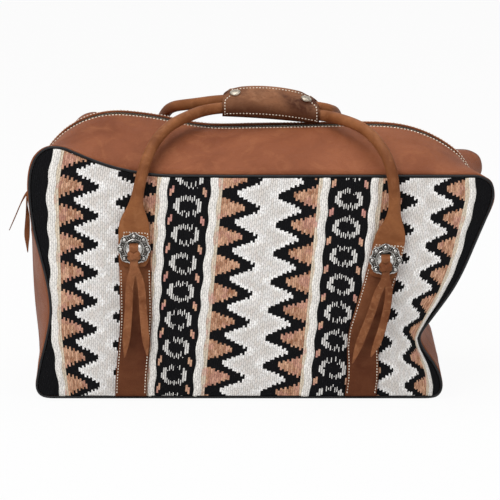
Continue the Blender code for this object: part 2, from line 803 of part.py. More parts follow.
def wrap_level(x):
    """Height of the grip wrap's middle along its length."""
    share = (x - WRAP_CENTRE) / (WRAP_LENGTH / 2)
    return HEIGHT + WRAP_RISE - WRAP_FALL * share - WRAP_ARCH * share ** 2


def tube_offset(side):
    """Place of one handle's tube inside the wrap, in Y and Z from its middle."""
    half = TUBE_SPREAD / 2 * (-SIDE[side])
    return -half * math.cos(TUBE_TILT), -half * math.sin(TUBE_TILT)


def tab_line(which, levels):
    """Centre line of a tab on its strap, through some levels."""
    line = []
    for z in levels:
        x = strap_centre(which, z)
        line.append((x, tab_depth(x, z), z))
    return line


def handle_path(side):
    """Centre line of a handle from the left tab over the grip to the right tab."""
    sign = SIDE[side]
    aside, lift = tube_offset(side)
    leg = DEPTH / 2 + BELLY / 2 + PIPING_RADIUS + HANDLE_RADIUS
    left_top, right_top = tab_top("left"), tab_top("right")
    left = strap_centre("left", left_top)
    right = strap_centre("right", right_top)
    rim = HEIGHT - RIM_DROP
    left_foot, right_foot = left_top - TAB_RISE - TAB_DROP, right_top - TAB_RISE - TAB_DROP
    left_low = tab_line("left", (left_foot, left_foot + 0.005, LEFT_CONCHO_HEIGHT, left_top - 0.010, left_top))
    right_low = tab_line("right", (right_top, right_top - 0.010, RIGHT_CONCHO_HEIGHT, right_foot + 0.005,
                                   right_foot))
    if side == "front":
        rising = [(left + 0.001, leg - 0.0005, left_top + 0.011), (left + 0.003, leg, rim - 0.028),
                  (left + 0.0075, leg + 0.0005, rim - 0.006), (left + 0.0125, leg - 0.006, rim + 0.013),
                  (left + 0.0205, 0.100, rim + 0.030), (left + 0.0315, 0.080, rim + 0.0425),
                  (left + 0.046, 0.058, rim + 0.0505), (left + 0.064, 0.036, rim + 0.055)]
        falling = [(right - 0.060, 0.028, rim + 0.050), (right - 0.040, 0.050, rim + 0.0475),
                   (right - 0.022, 0.076, rim + 0.040), (right - 0.009, 0.1015, rim + 0.0275),
                   (right + 0.001, leg - 0.001, rim + 0.006), (right + 0.004, leg + 0.0005, rim - 0.018),
                   (right + 0.004, leg, rim - 0.040), (right + 0.002, leg - 0.0005, right_top + 0.011)]
    else:
        rising = [(left + 0.003, leg - 0.0005, left_top + 0.011), (left + 0.008, leg, rim - 0.028),
                  (left + 0.016, leg + 0.0005, rim - 0.008), (left + 0.023, leg - 0.008, rim + 0.014),
                  (left + 0.0285, 0.088, rim + 0.031), (left + 0.0345, 0.062, rim + 0.0445),
                  (left + 0.045, 0.040, rim + 0.053), (left + 0.0665, 0.020, rim + 0.0585)]
        falling = [(right - 0.0640, 0.026, rim + 0.050), (right - 0.060, 0.048, rim + 0.044),
                   (right - 0.0580, 0.076, rim + 0.036), (right - 0.054, 0.105, rim + 0.025),
                   (right - 0.046, leg + 0.0010, rim + 0.004), (right - 0.032, leg + 0.0005, rim - 0.018),
                   (right - 0.016, leg, rim - 0.040), (right - 0.006, leg - 0.0005, right_top + 0.012)]
    grip = []
    for share in (-1.14, -1.0, -0.8, -0.4, 0.0, 0.4, 0.8, 1.0, 1.14):
        x = WRAP_CENTRE + share * WRAP_LENGTH / 2
        end = WRAP_CENTRE + math.copysign(min(abs(share), 1.0), share) * WRAP_LENGTH / 2
        grip.append((x, sign * aside, wrap_level(end) - abs(x - end) * GRIP_FALL + lift))
    keys = left_low + rising + grip + falling + right_low
    return np.array([(x, sign * y, z) for x, y, z in keys])


def handle_ring(point, ahead, width, thickness, squareness, count=10):
    """Ring of the handle: round along the tube, flat and square at the tabs."""
    sideways = np.cross((0.0, 1.0, 0.0), ahead)
    sideways = sideways / np.linalg.norm(sideways)
    up = np.cross(ahead, sideways)
    ring = []
    for j in range(count):
        turn = math.tau * (j + 0.5) / count
        a = math.copysign(abs(math.cos(turn)) ** squareness, math.cos(turn))
        b = math.copysign(abs(math.sin(turn)) ** squareness, math.sin(turn))
        ring.append(point + sideways * a * width / 2 + up * b * thickness / 2)
    return ring


def add_handle(side):
    """Rolled leather tube whose two ends flatten into sewn tabs."""
    line = smooth_line(handle_path(side), 600)
    length = line_length(line)
    tab_shares = [0.0, 0.006, 0.016, 0.035, 0.055, 0.070, 0.084, 0.098, 0.115]
    tube = list(np.linspace(0.14, 0.86, 26))
    reach = TAB_RISE + TAB_DROP
    shares = tab_shares + tube + [1.0 - share for share in reversed(tab_shares)]
    rings = []
    for share in shares:
        from_end = min(share, 1.0 - share) * length
        point = along(line, share)
        ahead = along(line, min(share + 0.004, 1.0)) - along(line, max(share - 0.004, 0.0))
        ahead = ahead / np.linalg.norm(ahead)
        rolled = smooth_step((from_end - reach) / ROLL_LENGTH)
        width = STRAP_WIDTH * (1 - rolled) + 2 * HANDLE_RADIUS * rolled
        if from_end < TAB_ROUND:
            width = width * (0.72 + 0.28 * from_end / TAB_ROUND)
        thickness = TAB_THICKNESS * (1 - rolled) + 2 * HANDLE_RADIUS * rolled
        rings.append(handle_ring(point, ahead, width, thickness, 0.45 + 0.55 * rolled))
    return add_object(f"handle_{side}", loft_mesh(f"handle_{side}", rings), HANDLE_LEATHER)


WRAP_SIDES = 12
WRAP_PLACES = (-1.0, -0.6, -0.3, 0.0, 0.3, 0.6, 1.0)


def wrap_ring(share):
    """Ring of the grip wrap's inner side round both tubes, fuller at the middle of its length."""
    radius = HANDLE_RADIUS + WRAP_CLEARANCE
    axis = np.array([math.cos(TUBE_TILT), math.sin(TUBE_TILT)])
    x = WRAP_CENTRE + share * WRAP_LENGTH / 2
    fuller = 1.0 + WRAP_BULGE * (1.0 - share * share)
    ring = []
    for j in range(WRAP_SIDES + 1):
        turn = math.tau * (j + 0.5) / WRAP_SIDES + TUBE_TILT
        ray = np.array([math.cos(turn), math.sin(turn)])
        side = 1.0 if np.dot(ray, axis) > 0 else -1.0
        y, z = axis * side * TUBE_SPREAD / 2 + ray * radius / math.cos(math.pi / WRAP_SIDES)
        ring.append((x, y, wrap_level(x) + z * fuller))
    return ring


def add_grip_wrap():
    """Leather sleeve round both handles."""
    grid = [wrap_ring(share) for share in WRAP_PLACES]
    mesh = strip_mesh("grip_wrap", grid)
    work = bmesh.new()
    work.from_mesh(mesh)
    bmesh.ops.remove_doubles(work, verts=work.verts, dist=0.00001)
    work.to_mesh(mesh)
    work.free()
    smooth_by_angle(mesh)
    item = add_object("grip_wrap", mesh, HANDLE_LEATHER)
    solidify = item.modifiers.new("thickness", "SOLIDIFY")
    solidify.thickness = WRAP_THICKNESS
    solidify.offset = 1.0
    return item


def add_snap(index):
    """Domed snap cap on the flat top of the grip wrap, between the two tubes."""
    x = WRAP_CENTRE + (index - 0.5) * SNAP_SPACING
    share = (x - WRAP_CENTRE) / (WRAP_LENGTH / 2)
    outer = max(place for place in WRAP_PLACES if place <= share)
    inner = min(place for place in WRAP_PLACES if place > share)
    near, far = wrap_ring(outer), wrap_ring(inner)
    back = WRAP_SIDES // 4 - 1
    corners = [Vector(ring[place]) for ring in (near, far) for place in (back, back + 1)]
    middle = (share - outer) / (inner - outer)
    seat = (corners[0] + corners[1]) / 2 * (1 - middle) + (corners[2] + corners[3]) / 2 * middle
    normal = (corners[2] - corners[0]).cross(corners[1] - corners[0]).normalized()
    if normal.z < 0.0:
        normal.negate()
    seat = seat + normal * (WRAP_THICKNESS + SNAP_GAP)
    profile = [(0.0, SNAP_HEIGHT), (0.45, SNAP_HEIGHT * 0.94), (0.78, SNAP_HEIGHT * 0.72),
               (0.94, SNAP_HEIGHT * 0.42), (1.0, SNAP_HEIGHT * 0.18), (0.97, 0.0), (0.0, 0.0)]
    mesh = bpy.data.meshes.new(f"wrap_snap_{index + 1}")
    points = [(share * SNAP_RADIUS, 0.0, height) for share, height in profile]
    mesh.from_pydata(points, [(i, i + 1) for i in range(len(points) - 1)], [])
    item = add_object(f"wrap_snap_{index + 1}", mesh, NICKEL)
    screw = item.modifiers.new("turn", "SCREW")
    screw.steps = 16
    screw.render_steps = 16
    screw.use_merge_vertices = True
    screw.merge_threshold = 0.00001
    screw.use_smooth_shade = True
    item.location = seat
    item.rotation_euler = normal.to_track_quat("Z", "Y").to_euler()
    return item


def concho_mesh(name):
    """Round silver concho: a dome in a ring of berries, with a scalloped edge."""
    count = BERRY_COUNT * 2
    rings = []
    rim = 0.0014
    for j in range(count):
        berry = 1.0 if j % 2 == 0 else 0.0
        turn = math.tau * j / count
        profile = [(0.0045, DOME_HEIGHT * 0.92), (0.0082, DOME_HEIGHT * 0.70),
                   (DOME_RADIUS, DOME_HEIGHT * 0.35), (DOME_RADIUS + 0.0014, rim),
                   (BERRY_RING, rim + (BERRY_HEIGHT - rim) * berry), (BERRY_RING + 0.0024, rim * 1.1),
                   (CONCHO_RADIUS - 0.0008 * (1.0 - berry), rim * 0.5)]
        rings.append([(radius * math.sin(turn), -height, radius * math.cos(turn)) for radius, height in profile])
    depth = len(rings[0])
    points = [point for ring in rings for point in ring]
    points += [(x, 0.0, z) for x, _, z in (ring[-1] for ring in rings)]
    crown = len(points)
    points.append((0.0, -DOME_HEIGHT, 0.0))
    faces = []
    for j in range(count):
        k = (j + 1) % count
        faces.append((crown, k * depth, j * depth))
        for i in range(depth - 1):
            faces.append((j * depth + i, k * depth + i, k * depth + i + 1, j * depth + i + 1))
        base = count * depth
        faces.append((j * depth + depth - 1, k * depth + depth - 1, base + k, base + j))
    faces.append(tuple(range(count * depth, count * depth + count)))
    mesh = bpy.data.meshes.new(name)
    mesh.from_pydata(points, [], faces)
    mesh.validate()
    face_outwards(mesh)
    smooth_by_angle(mesh, 55.0)
    return mesh


def concho_seat(side, which):
    """Centre of a concho's back on the handle's tab."""
    z = concho_height(which)
    x = strap_centre(which, z)
    depth = tab_depth(x, z) + TAB_THICKNESS / 2 + 2 * SEAM_GAP
    return Vector((x, SIDE[side] * depth, z))


def slot_cutter(name, height):
    """Box that cuts one thong slot through a concho."""
    mesh = bpy.data.meshes.new(name)
    work = bmesh.new()
    bmesh.ops.create_cube(work, size=1.0)
    bmesh.ops.scale(work, vec=(SLOT_WIDTH, DOME_HEIGHT * 3, SLOT_HEIGHT), verts=work.verts)
    bmesh.ops.translate(work, vec=(0.0, 0.0, height), verts=work.verts)
    work.to_mesh(mesh)
    work.free()
    cutter = bpy.data.objects.new(name, mesh)
    CUTTERS.objects.link(cutter)
    cutter.hide_render = True
    cutter.display_type = "WIRE"
    return cutter


def add_concho(side, which, mesh):
    """Slotted concho fixed over a handle's tab."""
    name = f"{side}_{which}_concho"
    item = add_object(name, mesh.copy(), SILVER)
    item.data.name = name
    item.location = concho_seat(side, which)
    if side == "back":
        item.rotation_euler = (0.0, 0.0, math.pi)
    for number, height in enumerate((SLOT_OFFSET, -SLOT_OFFSET)):
        cutter = slot_cutter(f"{name}_slot_{number + 1}", height)
        cutter.location = item.location
        cutter.rotation_euler = item.rotation_euler
        cut = item.modifiers.new("slot", "BOOLEAN")
        cut.operation = "DIFFERENCE"
        cut.solver = "EXACT"
        cut.object = cutter
    return item


def add_thong(side, which):
    """Thong out of the upper slot, over the dome, knotted below and hanging in two strands."""
    name = f"{side}_{which}_thong"
    thin = THONG_THICKNESS
    over = DOME_HEIGHT + thin / 2 + 0.0009
    slot = SLOT_OFFSET + 0.0004
    head = [(0.0, -0.0012, slot), (0.0, -0.0050, slot + 0.0001), (0.0, -over * 0.97, slot - 0.0012),
            (0.0, -over - 0.0002, 0.002), (0.0, -over * 0.95, -0.006),
            (0.0, -0.0068, -0.0135), (0.0, -0.0076, -0.0205)]
    if which == "left":
        first = [(-0.002, -0.0072, -0.027), (-0.006, -0.0058, -0.060), (-0.0085, -0.0050, -0.095),
                 (-0.0115, -0.0046, -0.126)]
        second = [(0.002, -0.0078, -0.0200), (0.0065, -0.0066, -0.032), (0.0095, -0.0058, -0.060),
                  (0.012, -0.0050, -0.095), (0.0145, -0.0046, -0.124)]
    else:
        first = [(-0.003, -0.0072, -0.026), (-0.014, -0.0058, -0.055), (-0.026, -0.0050, -0.088),
                 (-0.037, -0.0046, -0.120)]
        second = [(0.002, -0.0078, -0.0200), (0.004, -0.0066, -0.032), (0.001, -0.0060, -0.060),
                  (-0.006, -0.0054, -0.088), (-0.016, -0.0050, -0.112)]
    places = (0.0, 0.16, 0.22, 0.28, 0.85, 1.0)
    widths = (THONG_WIDTH, THONG_WIDTH, THONG_WIDTH * 1.35, THONG_WIDTH * 1.1, THONG_WIDTH * 1.15,
              THONG_WIDTH * 0.2)
    heights = (thin, thin, thin * 3.0, thin, thin, thin * 0.7)
    keys = [np.array(key) for key in head + first]
    mesh = strand_mesh(name, keys, widths, heights, places, (1.0, 0.0, 0.0), 19)
    item = add_object(name, mesh, THONG_LEATHER)
    keys = [np.array(key) for key in second]
    places = (0.0, 0.12, 0.85, 1.0)
    widths = (THONG_WIDTH * 0.8, THONG_WIDTH * 1.05, THONG_WIDTH * 1.15, THONG_WIDTH * 0.2)
    strand = strand_mesh(f"{name}_strand", keys, widths, (thin * 1.6, thin, thin, thin * 0.7), places,
                         (1.0, 0.0, 0.0), 8)
    tool = add_object(f"{name}_strand", strand, THONG_LEATHER, CUTTERS)
    for piece in (item, tool):
        piece.location = concho_seat(side, which)
        if side == "back":
            piece.rotation_euler = (0.0, 0.0, math.pi)
    union(item, tool)
    return item


def end_limit(level, lines_pair, edge, widest):
    """X of the band's inner side at a level, on the right or left edge."""
    values = []
    for lines in lines_pair:
        line = lines[edge]
        order = np.argsort(line[:, 1])
        values.append(float(np.interp(level, line[order, 1], line[order, 0])))
    return widest(values)


def add_lining():
    """Cloth lining, open at the top, standing clear of the band and the faces."""
    board_top = LEATHER_THICKNESS + SEAM_GAP + BOARD_THICKNESS
    levels = np.concatenate(([board_top + SEAM_GAP, 0.012, 0.03, 0.05, 0.062, 0.073, 0.085],
                             np.linspace(0.105, HEIGHT - LINING_TOP_DROP, 6)))
    half = DEPTH / 2 - WOOL_THICKNESS - SEAM_GAP * 4
    rings = []
    for number, level in enumerate(levels):
        shrink = 0.004 if number == 0 else 0.0
        right = end_limit(level, (SEAM, MIDDLE), 1, min) - LINING_CLEARANCE - shrink
        left = end_limit(level, (SEAM, MIDDLE), 3, max) + LINING_CLEARANCE + shrink
        ring = []
        corners = ((right, -half, -90), (right, half, 0), (left, half, 90), (left, -half, 180))
        for x, y, turn in corners:
            centre_x = x - math.copysign(LINING_CORNER, x)
            centre_y = y - math.copysign(LINING_CORNER + shrink, y)
            for step in (0, 45, 90):
                angle = math.radians(turn + step)
                ring.append(tuple(slumped((centre_x + LINING_CORNER * math.cos(angle),
                                           centre_y + LINING_CORNER * math.sin(angle), level))))
        rings.append(ring)
    count = len(rings[0])
    points = [point for ring in rings for point in ring]
    faces = [tuple(reversed(range(count)))]
    for i in range(len(rings) - 1):
        for j in range(count):
            k = (j + 1) % count
            faces.append((i * count + j, i * count + k, (i + 1) * count + k, (i + 1) * count + j))
    mesh = bpy.data.meshes.new("lining")
    mesh.from_pydata(points, [], faces)
    mesh.validate()
    smooth_by_angle(mesh)
    item = add_object("lining", mesh, CLOTH)
    solidify = item.modifiers.new("thickness", "SOLIDIFY")
    solidify.thickness = LINING_THICKNESS
    solidify.offset = -1.0
    return item


def add_base_board():
    """Stiffening board between the base leather and the lining."""
    mesh = bpy.data.meshes.new("base_board")
    work = bmesh.new()
    bmesh.ops.create_cube(work, size=1.0)
    size = (BASE_LENGTH - 2 * BOARD_MARGIN, DEPTH - 2 * BOARD_MARGIN, BOARD_THICKNESS)
    bmesh.ops.scale(work, vec=size, verts=work.verts)
    work.to_mesh(mesh)
    work.free()
    item = add_object("base_board", mesh, BOARD)
    item.location = (0.0, 0.0, LEATHER_THICKNESS + SEAM_GAP + BOARD_THICKNESS / 2)
    bevel = item.modifiers.new("edges", "BEVEL")
    bevel.width = BOARD_THICKNESS / 4
    bevel.segments = 1
    return item


def build():
    add_band_piece("base_panel", 4.0 - BASE_JOINT, 5.0 + BASE_JOINT)
    add_band_piece("right_end_panel", 1.0 + BASE_JOINT, ZIP_START)
    add_band_piece("left_end_panel", ZIP_END, 4.0 - BASE_JOINT)
    chain = zip_line()
    concho = concho_mesh("concho")
    for side in SIDE:
        add_panel(side)
        add_piping(side)
        add_top_strip(side)
        add_zip_tape(side)
        add_zip_teeth(side, chain)
        add_handle(side)
        for which in ("left", "right"):
            add_strap(side, which)
            add_concho(side, which, concho)
            add_thong(side, which)
    add_zip_slider()
    add_zip_pull()
    add_zip_thong()
    add_grip_wrap()
    for index in range(2):
        add_snap(index)
    add_lining()
    add_base_board()


build()
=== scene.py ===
import math

import bmesh
import bpy
from mathutils import Matrix, Vector, noise
from mathutils.bvhtree import BVHTree


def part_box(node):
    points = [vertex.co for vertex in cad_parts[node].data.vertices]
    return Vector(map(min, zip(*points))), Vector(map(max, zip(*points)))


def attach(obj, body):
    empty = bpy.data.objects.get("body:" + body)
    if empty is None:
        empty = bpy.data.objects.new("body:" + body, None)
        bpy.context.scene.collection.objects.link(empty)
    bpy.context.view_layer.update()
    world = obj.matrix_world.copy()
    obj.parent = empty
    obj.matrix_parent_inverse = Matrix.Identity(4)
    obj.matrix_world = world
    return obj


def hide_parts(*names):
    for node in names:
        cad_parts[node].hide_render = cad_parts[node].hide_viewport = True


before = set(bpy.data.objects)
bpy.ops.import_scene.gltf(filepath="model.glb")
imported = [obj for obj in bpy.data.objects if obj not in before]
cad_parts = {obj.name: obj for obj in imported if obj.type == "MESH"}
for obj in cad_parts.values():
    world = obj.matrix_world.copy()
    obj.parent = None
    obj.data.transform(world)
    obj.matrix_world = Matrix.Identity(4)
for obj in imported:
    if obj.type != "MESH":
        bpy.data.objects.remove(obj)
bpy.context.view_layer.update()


# Woven faces
# The front and back are saddle-blanket cloth, woven in wool with zigzags, ring medallions and
# thick white cords. Each is one cut piece, sewn to the leather band with piping in the seam.

SIDES = (("front", -1.0), ("back", 1.0))
YARN = 0.00245
STITCH = 0.0066
UNIT = 0.1809
REPEAT = 0.0331
ROW_SLOPE = 0.047
CORD_RISE = 0.0019
CORD_MIDDLE = 0.0285
CORD_HALF = 0.0048
CORD_WAVER = 0.0009
CORD_TWIST = 0.0085
MERGE = 0.00001


def clear_selection():
    """Object mode with nothing selected, ready for a new primitive."""
    if bpy.context.mode != "OBJECT":
        bpy.ops.object.mode_set(mode="OBJECT")
    bpy.ops.object.select_all(action="DESELECT")


def select_only(piece):
    """Leave one piece selected and active."""
    clear_selection()
    piece.select_set(True)
    bpy.context.view_layer.objects.active = piece


def add_piece(name, mesh):
    """Make a mesh a piece of the scene, selected and active."""
    mesh.name = name
    piece = bpy.data.objects.new(name, mesh)
    bpy.context.scene.collection.objects.link(piece)
    select_only(piece)
    return piece


def joined_copy(node, name, quads=True):
    """A copy of a solid, with its loose triangles joined, and made quads where asked."""
    piece = add_piece(name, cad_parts[node].data.copy())
    piece.data.materials.clear()
    bpy.ops.object.mode_set(mode="EDIT")
    bpy.ops.mesh.select_all(action="SELECT")
    bpy.ops.mesh.remove_doubles(threshold=MERGE)
    if quads:
        bpy.ops.mesh.tris_convert_to_quads(face_threshold=math.radians(25),
                                           shape_threshold=math.radians(60))
    bpy.ops.object.mode_set(mode="OBJECT")
    return piece


def refine(piece, levels, corner=60.0, smooth=50.0):
    """Round a piece by subdivision, with its cut edges held where they are."""
    shape = bmesh.new()
    shape.from_mesh(piece.data)
    crease = shape.edges.layers.float.get("crease_edge") or shape.edges.layers.float.new("crease_edge")
    for edge in shape.edges:
        if len(edge.link_faces) == 2 and edge.calc_face_angle() > math.radians(corner):
            edge[crease] = 1.0
    shape.to_mesh(piece.data)
    shape.free()
    select_only(piece)
    finer = piece.modifiers.new("finer", "SUBSURF")
    finer.levels = finer.render_levels = levels
    bpy.ops.object.modifier_apply(modifier="finer")
    bpy.ops.object.shade_smooth_by_angle(angle=math.radians(smooth))


def surface_of(*pieces):
    """A search tree over the surfaces of some pieces."""
    corners, faces = [], []
    for piece in pieces:
        start = len(corners)
        corners += [vertex.co.copy() for vertex in piece.data.vertices]
        faces += [[start + index for index in face.vertices] for face in piece.data.polygons]
    return BVHTree.FromPolygons(corners, faces)


def rise(piece, reach, neighbours=None, clearance=0.0001):
    """Move each point out along its normal by reach(place, normal), clear of the neighbours."""
    shape = bmesh.new()
    shape.from_mesh(piece.data)
    shape.normal_update()
    moves = []
    for vertex in shape.verts:
        amount = reach(vertex.co, vertex.normal)
        if neighbours is not None and amount > 0.0:
            found = neighbours.find_nearest(vertex.co, amount + 0.002)
            if found[0] is not None:
                amount = min(amount, max(0.0, found[3] - clearance))
        moves.append(vertex.normal * amount)
    for vertex, move in zip(shape.verts, moves):
        vertex.co += move
    shape.to_mesh(piece.data)
    shape.free()


def outline(piece, heights):
    """The lowest and highest x of a piece at each height."""
    shape = bmesh.new()
    shape.from_mesh(piece.data)
    pairs = [(edge.verts[0].co, edge.verts[1].co) for edge in shape.edges]
    found = []
    for height in heights:
        places = []
        for first, last in pairs:
            if (first.z - height) * (last.z - height) <= 0.0 and first.z != last.z:
                share = (height - first.z) / (last.z - first.z)
                places.append(first.x + share * (last.x - first.x))
        found.append((min(places), max(places)))
    shape.free()
    return found


def between(value, low, high):
    """0 below low, 1 above high and a smooth rise between them."""
    share = min(max((value - low) / (high - low), 0.0), 1.0)
    return share * share * (3.0 - 2.0 * share)


SLUMP = 0.012
SLUMP_SPANS = ((0.17, 0.25), (0.012, 0.070), (0.18, 0.26))


def slump(piece):
    """Let the bag's back right corner sink a little, as soft leather does."""
    for vertex in piece.data.vertices:
        share = math.prod(between(at, *span) for at, span in zip(vertex.co, SLUMP_SPANS))
        vertex.co.z -= SLUMP * share


LEVELS = [0.016 + 0.008 * step for step in range(30)]
FIRST_CENTRE = ((-0.01, -0.2230), (0.01, -0.2265), (0.08, -0.2370), (0.14, -0.2380), (0.19, -0.2403),
                (0.245, -0.2430), (0.285, -0.2360), (0.32, -0.2250))
CENTRE_LEAN = 0.089
SECOND_FOOT = -0.0780
THIRD_FOOT = 0.1045
PAST_EDGE = ((0.02, 0.002), (0.080, 0.004), (0.168, 0.0075), (0.24, 0.0005))


def read_off(table, at):
    """The value of a table of pairs at a place, held at its two ends."""
    if at <= table[0][0]:
        return table[0][1]
    for (low, first), (high, last) in zip(table, table[1:]):
        if at <= high:
            return first + (last - first) * (at - low) / (high - low)
    return table[-1][1]


def cloth_place(right_edge, spot):
    """Where a point of the face lies on the flat cloth: across and up, in metres."""
    first = read_off(FIRST_CENTRE, spot.z)
    second = SECOND_FOOT + CENTRE_LEAN * spot.z
    third = THIRD_FOOT + CENTRE_LEAN * spot.z
    up = spot.z + ROW_SLOPE * spot.x
    if spot.x < second:
        return (spot.x - first) / (second - first) * UNIT, up
    if spot.x < third:
        return (1.0 + (spot.x - second) / (third - second)) * UNIT, up
    fourth = read_off(right_edge, spot.z) + read_off(PAST_EDGE, spot.z)
    squeeze = fourth - third - UNIT
    past = spot.x - third
    root = math.sqrt(max(UNIT * UNIT + 4.0 * squeeze * past, 0.0))
    return (2.0 + 2.0 * past / (UNIT + root)) * UNIT, up


def cord_height(across, up):
    """How far the cloth stands out: the thick cords, with their twist, and the bands between."""
    away = abs(across - round(across / UNIT) * UNIT)
    middle = CORD_MIDDLE + CORD_WAVER * math.sin(2 * math.pi * up / REPEAT)
    side = (away - middle) / CORD_HALF
    if abs(side) < 1.0:
        twist = 1.0 + 0.16 * math.sin(2 * math.pi * (up / CORD_TWIST + side * 0.5))
        return CORD_RISE * (1.0 - side * side) * twist
    return 0.0004 * noise.noise(Vector((across * 90, up * 90, 0.0)))


outer_pieces = [piece for name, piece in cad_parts.items()
                if "strap" in name or "piping" in name or "handle" in name or "thong" in name]
outer_surface = surface_of(*outer_pieces)
woven_faces = {}
for side, out in SIDES:
    woven = joined_copy(f"{side}_panel", f"{side}_weave")
    right_edge = list(zip(LEVELS, [right for left, right in outline(woven, LEVELS)]))
    refine(woven, 3)
    slump(woven)
    rise(woven, lambda spot, normal: (normal.y * out > 0.6) * cord_height(*cloth_place(right_edge, spot)),
         outer_surface)
    layer = woven.data.uv_layers.new(name="weave")
    places = [cloth_place(right_edge, vertex.co) for vertex in woven.data.vertices]
    for loop in woven.data.loops:
        layer.data[loop.index].uv = places[loop.vertex_index]
    woven_faces[side] = woven


def put(tree, kind, **settings):
    """Add one node to a material or a group."""
    made = tree.nodes.new(kind)
    for name, value in settings.items():
        setattr(made, name, value)
    return made


def feed(tree, value, socket):
    """Set a socket, or wire it to another socket."""
    if isinstance(value, bpy.types.NodeSocket):
        tree.links.new(value, socket)
    else:
        socket.default_value = value


def work(tree, operation, *values):
    """One sum of a material's pattern."""
    made = put(tree, "ShaderNodeMath", operation=operation)
    for value, socket in zip(values, made.inputs):
        feed(tree, value, socket)
    return made.outputs[0]


def plus(tree, first, second):
    """Two values of a pattern added."""
    return work(tree, "ADD", first, second)


def minus(tree, first, second):
    """One value of a pattern less another."""
    return work(tree, "SUBTRACT", first, second)


def times(tree, first, second):
    """Two values of a pattern multiplied."""
    return work(tree, "MULTIPLY", first, second)


def in_cell(tree, count):
    """Where a point lies across its own yarn, stitch or zigzag, from -1 to 1."""
    return minus(tree, times(tree, work(tree, "FRACT", count), 2.0), 1.0)


def blend(tree, amount, first, second, how="MIX"):
    """First colour to second colour, by an amount."""
    made = put(tree, "ShaderNodeMix", data_type="RGBA", blend_type=how)
    feed(tree, amount, made.inputs[0])
    feed(tree, first, made.inputs[6])
    feed(tree, second, made.inputs[7])
    return made.outputs[2]


def spread(tree, value, low, high, new_low, new_high):
    """Take a value from one range to another."""
    made = put(tree, "ShaderNodeMapRange")
    for amount, socket in zip((value, low, high, new_low, new_high), made.inputs):
        feed(tree, amount, socket)
    return made.outputs[0]


def speckle(tree, place, scale, detail=2.0, roughness=0.5, distortion=0.0):
    """A soft random value over a surface."""
    made = put(tree, "ShaderNodeTexNoise")
    feed(tree, place, made.inputs["Vector"])
    for name, value in (("Scale", scale), ("Detail", detail), ("Roughness", roughness),
                        ("Distortion", distortion)):
        made.inputs[name].default_value = value
    return made.outputs[0]


def stretched(tree, place, x, y, z):
    """A place with each direction scaled, for a pattern that runs one way."""
    made = put(tree, "ShaderNodeMapping")
    feed(tree, place, made.inputs["Vector"])
    made.inputs["Scale"].default_value = (x, y, z)
    return made.outputs[0]


def raised(tree, height, depth, strength):
    """A relief for a shader's normal."""
    made = put(tree, "ShaderNodeBump")
    feed(tree, height, made.inputs["Height"])
    made.inputs["Distance"].default_value = depth
    made.inputs["Strength"].default_value = strength
    return made.outputs[0]


def new_finish(name, roughness, metallic=0.0):
    """An empty material: its node tree and its shader."""
    finish = bpy.data.materials.new(name)
    finish.use_nodes = True
    shader = finish.node_tree.nodes["Principled BSDF"]
    shader.inputs["Roughness"].default_value = roughness
    shader.inputs["Metallic"].default_value = metallic
    return finish, finish.node_tree, shader


def coat(node, finish):
    """Give a solid of the frame its material."""
    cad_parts[node].data.materials.clear()
    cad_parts[node].data.materials.append(finish)


def dress(piece, finish, node=None, body="bag"):
    """Give a piece its material and body, and let it stand for its solid, which is coated too."""
    if not piece.data.materials:
        piece.data.materials.append(finish)
    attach(piece, body)
    if node:
        coat(node, finish)
        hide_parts(node)


BLACK_WOOL = (0.0060, 0.0060, 0.0070, 1)
WHITE_WOOL = (0.98, 0.965, 0.95, 1)
CORD_WOOL = (0.88, 0.845, 0.80, 1)
MEDALLION_WOOL = (0.72, 0.70, 0.67, 1)
OAT_WOOL = (0.68, 0.635, 0.595, 1)
TAN_WOOL = (0.34, 0.145, 0.075, 1)
BISCUIT_WOOL = (0.64, 0.38, 0.25, 1)
BEIGE_WOOL = (0.70, 0.60, 0.47, 1)
PINK_WOOL = (0.56, 0.27, 0.23, 1)
# How far each colour reaches from its unit's middle, at the zigzag's tips and at its roots.
FIRST_MEDALLION = 0.1907
TAN_TIP, TAN_ROOT = 0.0632, 0.0366
BLACK_TIP, BLACK_ROOT = 0.0805, 0.0535
TIP_END, TAN_END, BLACK_END = 0.0026, 0.0127, 0.0148
STRIPE_EDGE = 0.0368
CORD_COVER = 0.0040
# The ring medallions and the ticks beside them, as half widths and half heights.
RING_OUTSIDE = (0.0160, 0.0122)
RING_INSIDE = (0.0104, 0.0066)
LOBE_START, LOBE_HEIGHT = 0.0090, 0.0088
TICK_PLACE, TICK_HALF, TICK_HEIGHT = 0.0183, 0.0025, 0.0040
# How unevenly the yarns end, and how much a stitch leans.
RAGGED = 0.0022
STITCH_LEAN = 0.0036

wool, tree, shader = new_finish("saddle_blanket_wool", 0.95)
shader.inputs["Specular IOR Level"].default_value = 0.12
cloth = put(tree, "ShaderNodeUVMap", uv_map="weave")
parts = put(tree, "ShaderNodeSeparateXYZ")
tree.links.new(cloth.outputs[0], parts.inputs[0])
across, up = parts.outputs[0], parts.outputs[1]
yarn_count = work(tree, "DIVIDE", across, YARN)
column = work(tree, "FLOOR", yarn_count)
middle = times(tree, plus(tree, column, 0.5), YARN)
wander = put(tree, "ShaderNodeTexWhiteNoise", noise_dimensions="1D")
tree.links.new(column, wander.inputs["W"])
alternate = work(tree, "FRACT", times(tree, column, 0.5))
rib = in_cell(tree, yarn_count)
lean = times(tree, rib, minus(tree, times(tree, alternate, STITCH_LEAN), STITCH_LEAN / 4))
stagger = plus(tree, times(tree, wander.outputs[0], 0.35 * STITCH), lean)
stagger = plus(tree, stagger, times(tree, alternate, STITCH))
stitch_count = work(tree, "DIVIDE", plus(tree, up, stagger), STITCH)
row = work(tree, "FLOOR", stitch_count)
ragged = plus(tree, times(tree, alternate, 2 * RAGGED), times(tree, wander.outputs[0], RAGGED))
